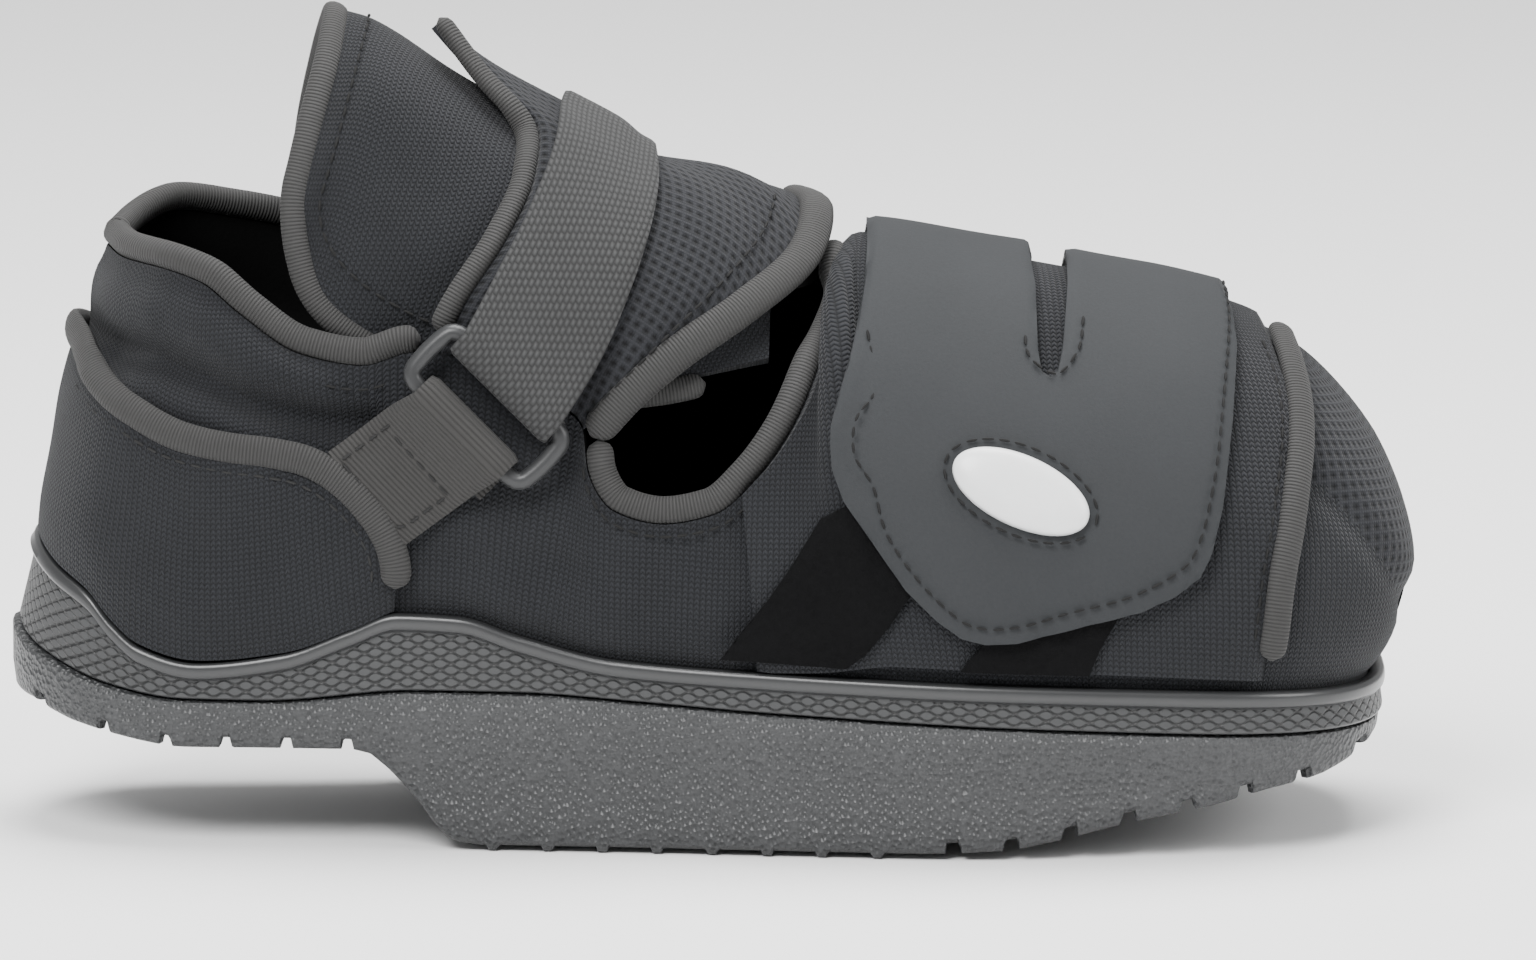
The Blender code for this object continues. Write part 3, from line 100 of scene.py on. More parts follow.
# Side of the sole: x, top of the rim
RIM = [(-0.4953, 0.3555), (-0.4681, 0.3295), (-0.441, 0.304), (-0.424, 0.2717), (-0.4037, 0.2445),
       (-0.363, 0.2277), (-0.3019, 0.2399), (-0.2544, 0.2699), (-0.2205, 0.2908), (-0.1781, 0.2879),
       (-0.1357, 0.2659), (-0.0678, 0.2382), (0.0339, 0.2266), (0.2748, 0.211), (0.3833, 0.2035),
       (0.48, 0.1919)]
# Side of the sole: x, groove between cup and wedge
GROOVE = [(-0.4953, 0.2601), (-0.4851, 0.237), (-0.4681, 0.222), (-0.424, 0.1965), (-0.3731, 0.1838),
          (-0.3155, 0.1827), (-0.2069, 0.1977), (-0.1357, 0.1971), (-0.0509, 0.1884), (0.0339, 0.1786),
          (0.2748, 0.159), (0.3833, 0.1514), (0.48, 0.1416)]
# Floor of the cup: x, height
FLOOR = [(-0.4953, 0.2705), (-0.4613, 0.2399), (-0.4071, 0.2173), (-0.2035, 0.2208), (-0.0678, 0.2116),
         (0.0678, 0.1988), (0.2748, 0.1792), (0.3833, 0.1711), (0.48, 0.1618)]
# Underside of the wedge: x, height
UNDER = [(-0.4766, 0.1618), (-0.4512, 0.1462), (-0.4342, 0.1399), (-0.4037, 0.1295), (-0.3731, 0.1231),
         (-0.2507, 0.1225), (-0.2402, 0.1173), (-0.2273, 0.0983), (-0.2086, 0.0636), (-0.1961, 0.0335),
         (-0.1866, 0.0162), (-0.1781, 0.0092), (-0.1628, 0.0064), (0.134, 0.0064), (0.2035, 0.011),
         (0.2408, 0.0225), (0.2765, 0.0376), (0.3087, 0.0497), (0.3518, 0.0636), (0.3925, 0.0798),
         (0.4342, 0.0908), (0.4596, 0.1058), (0.4732, 0.1191), (0.4783, 0.1272)]
# Top edge of the near side: arc share, x, y, z, lower handle out and up, upper handle out and down
NEAR = [(0.0, -0.4291, 0.0, 0.7023, -0.0185, 0.1156, 0.0463, 0.1156),
        (0.06, -0.4172, -0.1019, 0.6971, 0.0, 0.1156, 0.037, 0.1156),
        (0.12, -0.3901, -0.1991, 0.6936, 0.037, 0.1272, 0.037, 0.1156),
        (0.17, -0.3596, -0.2546, 0.6809, 0.0556, 0.1272, 0.037, 0.1156),
        (0.21, -0.329, -0.2917, 0.6428, 0.0648, 0.1156, 0.037, 0.104),
        (0.25, -0.2883, -0.3194, 0.6, 0.0648, 0.104, 0.0278, 0.0925),
        (0.285, -0.2442, -0.3333, 0.5873, 0.0556, 0.0925, 0.0231, 0.0925),
        (0.31, -0.2069, -0.3407, 0.6046, 0.0556, 0.0925, 0.0185, 0.0925),
        (0.345, -0.156, -0.3519, 0.5896, 0.0556, 0.0925, 0.0185, 0.0925),
        (0.375, -0.1153, -0.3648, 0.552, 0.0556, 0.0809, 0.0139, 0.0809),
        (0.395, -0.0899, -0.3759, 0.5145, 0.0463, 0.0694, 0.0139, 0.0694),
        (0.41, -0.0868, -0.3889, 0.4682, 0.0463, 0.0578, 0.0093, 0.052),
        (0.43, -0.0695, -0.4037, 0.4197, 0.037, 0.052, 0.0093, 0.0462),
        (0.46, -0.0336, -0.413, 0.4035, 0.0324, 0.052, 0.0093, 0.0462),
        (0.49, 0.0017, -0.4148, 0.415, 0.037, 0.052, 0.0139, 0.052),
        (0.52, 0.0332, -0.4037, 0.4601, 0.0463, 0.0694, 0.0185, 0.0694),
        (0.545, 0.059, -0.3741, 0.5214, 0.0556, 0.0925, 0.037, 0.0867),
        (0.565, 0.0746, -0.3204, 0.5803, 0.0648, 0.1272, 0.0833, 0.0925),
        (0.58, 0.0848, -0.2361, 0.6387, 0.0648, 0.1734, 0.1481, 0.052),
        (0.592, 0.0936, -0.125, 0.6867, 0.0648, 0.2081, 0.213, 0.0173),
        (0.605, 0.1052, 0.0, 0.7023, 0.0648, 0.2312, 0.2593, 0.0)]
# Ridge and toe, both sides: arc share, x, y, z, lower handle out and up, upper handle out and down
RIDGE = [(0.64, 0.1493, 0.0, 0.6902, 0.0648, 0.2312, 0.2685, 0.0),
         (0.7, 0.2205, 0.0, 0.6682, 0.0648, 0.2312, 0.2685, 0.0),
         (0.76, 0.2849, 0.0, 0.6486, 0.0741, 0.2197, 0.2685, 0.0029),
         (0.815, 0.3324, 0.0, 0.6324, 0.0926, 0.1965, 0.2593, 0.0058),
         (0.865, 0.3562, 0.0, 0.6237, 0.1389, 0.1618, 0.2407, 0.0202),
         (0.905, 0.3731, 0.0, 0.6139, 0.1759, 0.1445, 0.2222, 0.0347),
         (0.945, 0.385, 0.0, 0.6058, 0.1944, 0.1358, 0.2037, 0.0405),
         (1.0, 0.3918, 0.0, 0.6006, 0.1944, 0.1301, 0.1852, 0.0405)]
# Top edge of the far side, same columns
FAR = [(0.0, -0.4291, 0.0, 0.7023, -0.0185, 0.1156, 0.0463, 0.1156),
       (0.06, -0.4172, 0.1019, 0.7139, 0.0, 0.1156, 0.037, 0.1156),
       (0.12, -0.3901, 0.1991, 0.7283, 0.037, 0.1272, 0.037, 0.1156),
       (0.18, -0.346, 0.2731, 0.7133, 0.0556, 0.1272, 0.037, 0.1156),
       (0.24, -0.2917, 0.3148, 0.6902, 0.0648, 0.1156, 0.037, 0.1156),
       (0.3, -0.2239, 0.3287, 0.6532, 0.0556, 0.104, 0.0278, 0.104),
       (0.37, -0.1425, 0.338, 0.6272, 0.0556, 0.104, 0.0278, 0.104),
       (0.44, -0.0577, 0.338, 0.6156, 0.0556, 0.104, 0.037, 0.104),
       (0.5, 0.0102, 0.3194, 0.6214, 0.0556, 0.1156, 0.0556, 0.104),
       (0.55, 0.0611, 0.25, 0.6358, 0.0648, 0.1734, 0.1296, 0.052),
       (0.582, 0.0882, 0.125, 0.6867, 0.0648, 0.2081, 0.213, 0.0173),
       (0.605, 0.1052, 0.0, 0.7023, 0.0648, 0.2312, 0.2593, 0.0)]
# Outer face of the near ankle flap: share from rear to front edge, then x, y, z of low, middle, shoulder,
# crest, beyond and end; the root comes from the top edge of the near side
NEAR_FLAP = [(0.0, -0.1764, -0.3389, 0.6532, -0.1459, -0.2917, 0.7341, -0.1255, -0.1944, 0.8092,
              -0.1255, -0.0926, 0.8584, -0.156, -0.0417, 0.9104, -0.19, 0.0093, 0.9769),
             (0.22, -0.1543, -0.3463, 0.6532, -0.134, -0.3102, 0.7254, -0.117, -0.2222, 0.8006,
              -0.1119, -0.1019, 0.8532, -0.1204, 0.0185, 0.8832, -0.1493, 0.0926, 0.9075),
             (0.5, -0.1136, -0.3574, 0.6185, -0.0967, -0.3287, 0.6908, -0.0831, -0.25, 0.7601, -0.0746,
              -0.1204, 0.8197, -0.0729, 0.0185, 0.8416, -0.0746, 0.1852, 0.815),
             (0.74, -0.0848, -0.3611, 0.5867, -0.0645, -0.3426, 0.6503, -0.0492, -0.2778, 0.7197,
              -0.0407, -0.1481, 0.7832, -0.039, 0.0185, 0.8081, -0.0339, 0.2037, 0.7775),
             (0.88, -0.0678, -0.3648, 0.5751, -0.0373, -0.3389, 0.6387, -0.0119, -0.2731, 0.6994,
              0.0068, -0.1481, 0.7601, 0.0136, 0.0, 0.7896, 0.0136, 0.1852, 0.763),
             (1.0, -0.0628, -0.3667, 0.5636, -0.0254, -0.3426, 0.6156, 0.017, -0.287, 0.6618, 0.0594,
              -0.1667, 0.7139, 0.0678, -0.0278, 0.7572, 0.0509, 0.1296, 0.7572)]
# Outer face of the far ankle flap: share from rear to front edge, then x, y, z of low, shoulder, crest,
# near shoulder, near side and near end; the root comes from the top edge of the far side
FAR_FLAP = [(0.0, -0.2849, 0.3056, 0.7919, -0.2697, 0.1944, 0.9249, -0.2578, 0.0185, 0.9855, -0.2629,
             -0.1111, 0.9422, -0.2765, -0.2037, 0.8555, -0.2883, -0.25, 0.7688),
            (0.16, -0.2442, 0.3148, 0.7688, -0.2307, 0.2037, 0.9075, -0.2239, 0.0185, 0.9595, -0.2307,
             -0.125, 0.9191, -0.2476, -0.2315, 0.8092, -0.2748, -0.2778, 0.6763),
            (0.36, -0.1832, 0.3102, 0.7168, -0.1764, 0.1944, 0.8497, -0.173, 0.0093, 0.8988, -0.173,
             -0.1389, 0.8584, -0.19, -0.25, 0.7514, -0.2239, -0.2963, 0.6069),
            (0.58, -0.1153, 0.3056, 0.6879, -0.1085, 0.1852, 0.7948, -0.1052, 0.0093, 0.8353, -0.1052,
             -0.1481, 0.7948, -0.1153, -0.2639, 0.6994, -0.1459, -0.3148, 0.5723),
            (0.8, -0.0407, 0.2963, 0.6647, -0.0356, 0.1759, 0.7399, -0.0339, 0.0093, 0.7717, -0.0339,
             -0.1481, 0.7399, -0.039, -0.2593, 0.6647, -0.0509, -0.3194, 0.5636),
            (1.0, 0.0288, 0.2731, 0.6647, 0.0373, 0.1389, 0.7023, 0.0407, 0.0, 0.711, 0.0424, -0.1111,
             0.6965, 0.0424, -0.2083, 0.6503, 0.0407, -0.2778, 0.5925)]
# Heel counter in side view: x and height of its upper edge, from the back
COUNTER = [(-0.5088, 0.604), (-0.4393, 0.5896), (-0.4274, 0.5578), (-0.4138, 0.5353), (-0.3982, 0.5202),
           (-0.3748, 0.5017), (-0.3419, 0.4896), (-0.3063, 0.4832), (-0.2815, 0.474), (-0.2578, 0.4497),
           (-0.2391, 0.4185), (-0.2252, 0.3815), (-0.2205, 0.3497), (-0.2212, 0.3266), (-0.2239, 0.2659)]
# Front edge of the vamp panel in side view, from the ridge down
VAMP_FRONT = [(0.3765, 0.6474), (0.3867, 0.6214), (0.3962, 0.5925), (0.4037, 0.5607), (0.4084, 0.5231),
              (0.4084, 0.4798), (0.405, 0.437), (0.4009, 0.3913), (0.3955, 0.3434), (0.3908, 0.2803),
              (0.3877, 0.2457), (0.3847, 0.1965)]
# Rear edge of the vamp panel in side view, from the ridge down
VAMP_REAR = [(0.0814, 0.7514), (0.0475, 0.6474), (0.0271, 0.5491), (0.0204, 0.4624), (0.0271, 0.3468),
             (0.0339, 0.1965)]
# Forefoot closure flap in side view, from the rear top corner down and round to the front
# along the top with the V between its two arms
FLAP = [(0.1099, 0.7428), (0.1102, 0.7162), (0.1075, 0.6728), (0.0991, 0.6104), (0.0882, 0.552),
        (0.0828, 0.5202), (0.0845, 0.4769), (0.0926, 0.4399), (0.1147, 0.3867), (0.136, 0.3353),
        (0.1574, 0.2994), (0.1744, 0.2786), (0.1917, 0.2711), (0.2137, 0.2728), (0.2507, 0.2884),
        (0.2999, 0.3087), (0.3256, 0.3283), (0.3423, 0.3497), (0.3501, 0.3763), (0.3582, 0.4301),
        (0.366, 0.5272), (0.3704, 0.604), (0.3684, 0.6335), (0.3596, 0.659), (0.3426, 0.7514),
        (0.252, 0.7514), (0.2514, 0.6717), (0.2473, 0.6116), (0.2436, 0.5838), (0.2381, 0.5757),
        (0.232, 0.5815), (0.2293, 0.6069), (0.2286, 0.6717), (0.2252, 0.6994), (0.2239, 0.7514),
        (0.1099, 0.7861)]
# Patches under the flap in side view: rear foot, rear top, front top, front foot
PATCH_REAR = [(0.0068, 0.2457), (0.019, 0.2746), (0.0393, 0.3179), (0.0577, 0.363), (0.0767, 0.4162),
              (0.1018, 0.4393), (0.1493, 0.3468), (0.1374, 0.3214), (0.1238, 0.2873), (0.1069, 0.252),
              (0.0943, 0.2364)]
PATCH_FRONT = [(0.1706, 0.2266), (0.1798, 0.2474), (0.1934, 0.2763), (0.2035, 0.3121), (0.2782, 0.3353),
               (0.2856, 0.3029), (0.2727, 0.2647), (0.2632, 0.2249)]
# Ankle strap: x, y, z of its rear edge, then of its front edge, from the loop to the far side
STRAP = [(-0.1781, -0.3796, 0.6069, -0.1035, -0.3981, 0.5202),
         (-0.1628, -0.3704, 0.6555, -0.0868, -0.3889, 0.5595),
         (-0.1459, -0.3519, 0.7168, -0.0661, -0.3704, 0.6387),
         (-0.1272, -0.2963, 0.7803, -0.0485, -0.3241, 0.7139),
         (-0.1133, -0.2222, 0.8324, -0.0393, -0.2407, 0.7659),
         (-0.1052, -0.1296, 0.8699, -0.036, -0.1296, 0.8064),
         (-0.1052, 0.0, 0.8873, -0.0407, 0.0, 0.8225),
         (-0.1069, 0.1574, 0.8555, -0.0407, 0.1574, 0.8035),
         (-0.1153, 0.2778, 0.7861, -0.0424, 0.2685, 0.7399),
         (-0.1289, 0.3519, 0.7052, -0.0492, 0.3426, 0.659),
         (-0.1391, 0.3889, 0.6012, -0.0594, 0.3889, 0.5665),
         (-0.1459, 0.4074, 0.4971, -0.0678, 0.4167, 0.474)]
# Loop: centre x and height in side view, lean in degrees
LOOP_CENTRE = (-0.156, 0.541)
LOOP_LEAN = 45.0
# Rear end of the tab in side view: lower corner, upper corner
TAB = [(-0.2035, 0.396), (-0.2425, 0.5)]
# Badge: centre x and height, lean in degrees
BADGE_CENTRE = (0.2157, 0.4393)
BADGE_LEAN = -26.0
# Notches of heel and forefoot: x of the first, count, width and depth
HEEL_NOTCH = (-0.4701, 6, 2.4, 2.2)
FORE_NOTCH = (0.1696, 8, 3.4, 2.3)
# Ribs on the flat: x of the first, count, pitch and width
RIB = (-0.1547, 8, 11.4, 2.6)


def cubic(t, h, y0, y1, m0, m1):
    """Cubic between two values with their slopes, t from 0 to 1 over a length h."""
    return ((1 + 2 * t) * (1 - t) ** 2 * y0 + t * (1 - t) ** 2 * h * m0
            + t * t * (3 - 2 * t) * y1 + t * t * (t - 1) * h * m1)


def smooth(xs, ys, x):
    """Curve through table rows that never overshoots."""
    xs = np.asarray(xs, float)
    ys = np.asarray(ys, float)
    x = np.clip(np.asarray(x, float), xs[0], xs[-1])
    h = np.diff(xs)
    d = np.diff(ys) / h
    m = np.zeros(len(xs))
    m[0] = d[0]
    m[-1] = d[-1]
    for i in range(1, len(xs) - 1):
        if d[i - 1] * d[i] > 0:
            a = 2 * h[i] + h[i - 1]
            b = h[i] + 2 * h[i - 1]
            m[i] = (a + b) / (a / d[i - 1] + b / d[i])
    k = np.clip(np.searchsorted(xs, x, side="right") - 1, 0, len(xs) - 2)
    t = (x - xs[k]) / h[k]
    return cubic(t, h[k], ys[k], ys[k + 1], m[k], m[k + 1])


def flowing(xs, ys, x):
    """Curve through table rows that is free to round its corners."""
    xs = np.asarray(xs, float)
    ys = np.asarray(ys, float)
    x = float(np.clip(x, xs[0], xs[-1]))
    m = np.gradient(ys, xs, axis=0)
    k = int(np.clip(np.searchsorted(xs, x, side="right") - 1, 0, len(xs) - 2))
    h = xs[k + 1] - xs[k]
    t = (x - xs[k]) / h
    return cubic(t, h, ys[k], ys[k + 1], m[k], m[k + 1])


PLAN_T = sized(PLAN, "xy")
RIM_T = sized(RIM, "xz")
GROOVE_T = sized(GROOVE, "xz")
FLOOR_T = sized(FLOOR, "xz")
UNDER_T = sized(UNDER, "xz")
HEEL_X, HEEL_R = sized([HEEL_END], "xx")[0]
TOE_X, TOE_R = sized([TOE_END], "xx")[0]


def walked(points):
    """Length along a row of points at each of them."""
    return np.concatenate([[0], np.cumsum(np.linalg.norm(np.diff(points, axis=0), axis=1))])


def half_width(x):
    w = smooth(PLAN_T[:, 0], PLAN_T[:, 1], x)
    a = max(0.0, (HEEL_X + HEEL_R - x) / HEEL_R)
    b = max(0.0, (x - TOE_X + TOE_R) / TOE_R)
    w = w * max(0.0, 1 - min(a, 1.0) ** HEEL_SQUARE) ** (1 / HEEL_SQUARE)
    return w * max(0.0, 1 - min(b, 1.0) ** TOE_SQUARE) ** (1 / TOE_SQUARE)


# Half outline on the near side, walked by its arc length
def walk_outline():
    pts = []
    for i in range(241):
        t = i / 240
        a = 0.5 * math.pi * t
        pts.append(HEEL_X + HEEL_R * (1 - math.cos(a) ** (2 / HEEL_SQUARE)))
    for i in range(1, 200):
        pts.append(HEEL_X + HEEL_R + (TOE_X - TOE_R - HEEL_X - HEEL_R) * i / 200)
    for i in range(241):
        a = 0.5 * math.pi * i / 240
        pts.append(TOE_X - TOE_R + TOE_R * math.sin(a) ** (2 / TOE_SQUARE))
    xy = np.array([(x, -half_width(x)) for x in pts])
    xy[0] = (HEEL_X, 0.0)
    xy[-1] = (TOE_X, 0.0)
    s = np.concatenate([[0], np.cumsum(np.hypot(*np.diff(xy, axis=0).T))])
    return xy, s / s[-1]


OUTLINE, OUTLINE_S = walk_outline()


def edge(q):
    """Point and outward normal of the near half outline at an arc share."""
    x = np.interp(q, OUTLINE_S, OUTLINE[:, 0])
    y = np.interp(q, OUTLINE_S, OUTLINE[:, 1])
    a, b = max(q - 0.012, 0.0), min(q + 0.012, 1.0)
    tx = np.interp(b, OUTLINE_S, OUTLINE[:, 0]) - np.interp(a, OUTLINE_S, OUTLINE[:, 0])
    ty = np.interp(b, OUTLINE_S, OUTLINE[:, 1]) - np.interp(a, OUTLINE_S, OUTLINE[:, 1])
    if q <= 0.0:
        tx, ty = 0.0, -1.0
    if q >= 1.0:
        tx, ty = 0.0, 1.0
    n = math.hypot(tx, ty)
    return x, y, ty / n, -tx / n


def heel_lean(x, z):
    """How far the cup leans in at the back, above the groove."""
    share = max(0.0, 1 - (x - HEEL_X) / (0.45 * HEEL_R))
    return 0.22 * share ** 1.5 * max(0.0, z - float(GROOVE_T[0, 1]))


def rim_z(x):
    return float(smooth(RIM_T[:, 0], RIM_T[:, 1], x))


def groove_z(x):
    return float(smooth(GROOVE_T[:, 0], GROOVE_T[:, 1], x))


def floor_z(x):
    return float(smooth(FLOOR_T[:, 0], FLOOR_T[:, 1], x))


NEAR_T = sized(NEAR + RIDGE, "nxyzyzyz")
FAR_T = sized(FAR + RIDGE, "nxyzyzyz")
JOIN_Q = FAR[-1][0]
TOP = {"near": NEAR_T, "far": FAR_T}
SIDE = {"near": 1.0, "far": -1.0}


def foot_point(side, q, z):
    """Point on the inside of the rim, where the wall comes up."""
    x, y, nx, ny = edge(q)
    d = LIP + GAP + heel_lean(x, z)
    if 0 < q < 1:
        y = min(y - ny * d, 0.0)
    return np.array([x - nx * d, y * SIDE[side], z]), np.array([nx, ny * SIDE[side], 0.0])


def wall(side, q, v):
    """Outer face of the upper from the rim (v = 0) to its top edge (v = 1)."""
    q = float(np.clip(q, 0, 1))
    row = [float(c) for c in smooth_row(TOP[side], q)]
    top = np.array(row[0:3])
    if q >= JOIN_Q or q == 0.0:
        top[1] = 0.0
    x = edge(q)[0]
    foot, n = foot_point(side, q, rim_z(x))
    rise = max(top[2] - foot[2], 1.0)
    t = np.array([n[1] * -SIDE[side], n[0] * SIDE[side], 0.0])
    lean = float(np.dot(top - foot, t)) / rise
    lean = lean * float(np.clip((0.92 - q) / 0.25, 0, 1)) * float(np.clip(q / 0.1, 0, 1))
    up = np.array([0, 0, 1.0]) + t * lean
    p1 = foot + n * row[3] + up * row[4]
    p2 = top + n * row[5] - up * row[6] * (0 if q >= JOIN_Q and q < 0.8 else 1)
    v = float(v)
    return ((1 - v) ** 3 * foot + 3 * v * (1 - v) ** 2 * p1 + 3 * v * v * (1 - v) * p2 + v ** 3 * top)


def smooth_row(table, q):
    return [smooth(table[:, 0], table[:, c], q) for c in range(1, table.shape[1])]


def normal(fn, a, b, da=0.004, db=0.02, flip=1.0):
    """Unit normal of a surface function, by differences."""
    pa = fn(a + da, b) - fn(a - da, b)
    pb = fn(a, b + db) - fn(a, b - db)
    n = np.cross(pa, pb)
    return flip * n / max(np.linalg.norm(n), 1e-9)


def wall_normal(side, q, v):
    if q < JOIN_Q:
        v = min(v, 0.9)
    other = "far" if side == "near" else "near"

    def over_top(a, b):
        if b > 1 and a >= JOIN_Q:
            return wall(other, a, 2 - b)
        return wall(side, a, min(b, 1.0))
    n = normal(over_top, min(max(q, 0.004), 0.996), max(v, 0.02), flip=SIDE[side])
    if q <= 0 or q >= 1 or (v >= 1 and q >= JOIN_Q):
        n[1] = 0.0
    return n / np.linalg.norm(n)


def under_line():
    """Underside of the wedge with its notches and ribs, from heel to toe."""
    cuts = []
    for notch, pitch in ((HEEL_NOTCH, HEEL_PITCH), (FORE_NOTCH, FORE_PITCH)):
        first, count, wide, deep = sized([notch], "xnnn")[0]
        for i in range(int(count)):
            cuts.append((first + i * pitch, wide, deep))
    first, count, pitch, wide = sized([RIB], "xnnn")[0]
    for i in range(int(count)):
        cuts.append((first + i * pitch, wide, 0.0))
    line = {}

    def base(x):
        return float(smooth(UNDER_T[:, 0], UNDER_T[:, 1], x))
    for x, z in UNDER_T:
        if not any(abs(x - c) < w / 2 + 0.6 for c, w, d in cuts):
            line[float(x)] = float(z)
    for c, w, d in cuts:
        for x, share in ((c - w / 2, 0), (c - w * 0.36, 1), (c + w * 0.36, 1), (c + w / 2, 0)):
            z = base(x)
            if share:
                z = z + d if d > 0 else 0.0
            line[float(x)] = z
    xs = sorted(line)
    return [(x, line[x]) for x in xs]


def surface_grid(side, last):
    out = []
    for q in np.linspace(0.0, last, 98):
        for v in np.linspace(0, 1, 21):
            out.append([q, v] + list(wall(side, q, v)))
    return np.array(out)


SURFACE = {"near": surface_grid("near", 0.97), "far": surface_grid("far", 0.6)}


def find_qv(x, z, side="near"):
    """Arc share and height share of a wall at a place in the side view."""
    grid = SURFACE[side]
    d = (grid[:, 2] - x) ** 2 + (grid[:, 4] - z) ** 2
    q, v = grid[int(np.argmin(d)), :2]
    for _ in range(6):
        p = wall(side, q, v)
        pq = (wall(side, q + 0.003, v) - wall(side, q - 0.003, v)) / 0.006
        pv = (wall(side, q, min(v + 0.01, 1)) - wall(side, q, max(v - 0.01, 0)))
        pv = pv / (min(v + 0.01, 1) - max(v - 0.01, 0))
        det = pq[0] * pv[2] - pq[2] * pv[0]
        if abs(det) < 1e-6:
            break
        ex, ez = x - p[0], z - p[2]
        q = float(np.clip(q + np.clip((ex * pv[2] - ez * pv[0]) / det, -0.03, 0.03), 0.0, 1.0))
        v = float(np.clip(v + np.clip((pq[0] * ez - pq[2] * ex) / det, -0.1, 0.1), 0.0, 1.0))
    return q, v


def on_wall(x, z, lift, side="near"):
    q, v = find_qv(x, z, side)
    return wall(side, q, v) + wall_normal(side, q, v) * lift


def bead_path(outline, aside, lift, side="near"):
    """Path of a bead beside an edge drawn in the side view, moved aside from it and lifted off the wall."""
    out = []
    pts = np.array(outline, float)
    for i, (x, z) in enumerate(pts):
        a = pts[max(i - 1, 0)]
        b = pts[min(i + 1, len(pts) - 1)]
        t = (b - a) / np.linalg.norm(b - a)
        out.append(on_wall(x - t[1] * aside, z + t[0] * aside, lift, side))
    return out


def local_frame(centre, lean, lift):
    """Centre over the near wall, with the long axis, the short axis and the outward axis."""
    q, v = find_qv(*centre)
    p = wall("near", q, v)
    n = wall_normal("near", q, v)
    a = math.radians(lean)
    along = np.array([math.cos(a), 0.0, math.sin(a)])
    along = along - n * float(np.dot(along, n))
    along = along / np.linalg.norm(along)
    across = np.cross(n, along)
    return p + n * lift, along, across, n


# Ankle flaps: arcs over the instep, from the root to the end
NEAR_FLAP_T = sized(NEAR_FLAP, "n" + "xyz" * 6)
FAR_FLAP_T = sized(FAR_FLAP, "n" + "xyz" * 6)
# Arc shares of the wall's top edge where each flap starts and ends, and the gap left at its root
NEAR_ROOT = (0.322, 0.396)
FAR_ROOT = (0.244, 0.522)
ROOT_GAP = {"near": 0.5, "far": 1.1}
ROOT_SHARE = 0.94


def flap_controls(side, f):
    """Length shares and control points of an ankle flap's arc."""
    table, root = (NEAR_FLAP_T, NEAR_ROOT) if side == "near" else (FAR_FLAP_T, FAR_ROOT)
    q = root[0] + (root[1] - root[0]) * f
    top = wall(side, q, 1.0)
    up = top - wall(side, q, ROOT_SHARE)
    start = top + up / np.linalg.norm(up) * ROOT_GAP[side]
    ctrl = np.vstack([start, flowing(table[:, 0], table[:, 1:], f).reshape(6, 3)])
    s = walked(ctrl)
    return s / s[-1], ctrl


def flap_point(side, f, b):
    """Outer face of an ankle flap: f from its rear to its front edge, b from its root to its end."""
    return flowing(*flap_controls(side, f), b)


def flap_normal(side, f, b):
    e = 0.02
    pa = flap_point(side, min(f + e, 1), b) - flap_point(side, max(f - e, 0), b)
    pb = flap_point(side, f, min(b + e, 1)) - flap_point(side, f, max(b - e, 0))
    n = np.cross(pa, pb)
    if side == "far":
        n = -n
    return n / np.linalg.norm(n)


# Rolled tape along the free edges
def edge_out(side, q):
    """Point on the middle of the upper's top edge and the way out of the wall there, across the edge."""
    a = max(q - 0.006, 0.0)
    b = min(q + 0.006, JOIN_Q)
    t = wall(side, b, 1.0) - wall(side, a, 1.0)
    if q == 0:
        t = np.array([0.0, -1.0 if side == "near" else 1.0, 0.0])
    n = wall_normal(side, q, 1.0 if q < JOIN_Q else 0.9)
    e = np.cross(n, t) if side == "near" else np.cross(t, n)
    e = e / np.linalg.norm(e)
    return wall(side, q, 1.0) - n * WALL / 2, e


def rim_path(side, qs, radius):
    out = []
    for q in qs:
        p, e = edge_out(side, q)
        out.append(p + e * (radius + GAP))
    return out


def flap_edge(side, f, b, way, drop=SHEET / 2):
    """Path point of a bead beside an ankle flap's edge; way is the direction in f and in b."""
    p = flap_point(side, f, b)
    n = flap_normal(side, f, b)
    e = 0.03
    df = flap_point(side, min(f + e, 1), b) - flap_point(side, max(f - e, 0), b)
    db = flap_point(side, f, min(b + e, 1)) - flap_point(side, f, max(b - e, 0))
    df = df / np.linalg.norm(df)
    db = db / np.linalg.norm(db)
    out = way[0] * (df - db * float(np.dot(df, db))) + way[1] * (db - df * float(np.dot(df, db)))
    out = out / np.linalg.norm(out)
    return p - n * drop + out * (FLAP_BEAD + 2 * GAP)


# Loop, ankle strap and the tab that holds the loop
BAR_OUT = LOOP_BAR + 2 * GAP + STRAP_THICK / 2


def fold_path(reach):
    """Side view of webbing folded round a bar: along the webbing and above the loop's middle."""
    return [(LOOP_WIDTH / 2 + reach, -BAR_OUT), (LOOP_WIDTH / 2 + 1.5, -BAR_OUT),
            (LOOP_WIDTH / 2 - 0.7 * BAR_OUT, -0.7 * BAR_OUT), (LOOP_WIDTH / 2 - BAR_OUT, 0.0),
            (LOOP_WIDTH / 2 - 0.7 * BAR_OUT, 0.7 * BAR_OUT), (LOOP_WIDTH / 2 + 1.5, BAR_OUT)]


# Looks, in millimetres until each mesh is made
MIDSOLE_STEPS = 300
WEDGE_STEPS = 760
INSOLE_STEPS = 140
SKIN_STEPS = 300
SKIN_ROWS = 40
# Shares of the wall's height over which its relief fades out, at the rim and at the top
FOOT_FADE = 0.12
TOP_FADE = 0.1
FLAP_STEPS = 46
FLAP_ROWS = 64
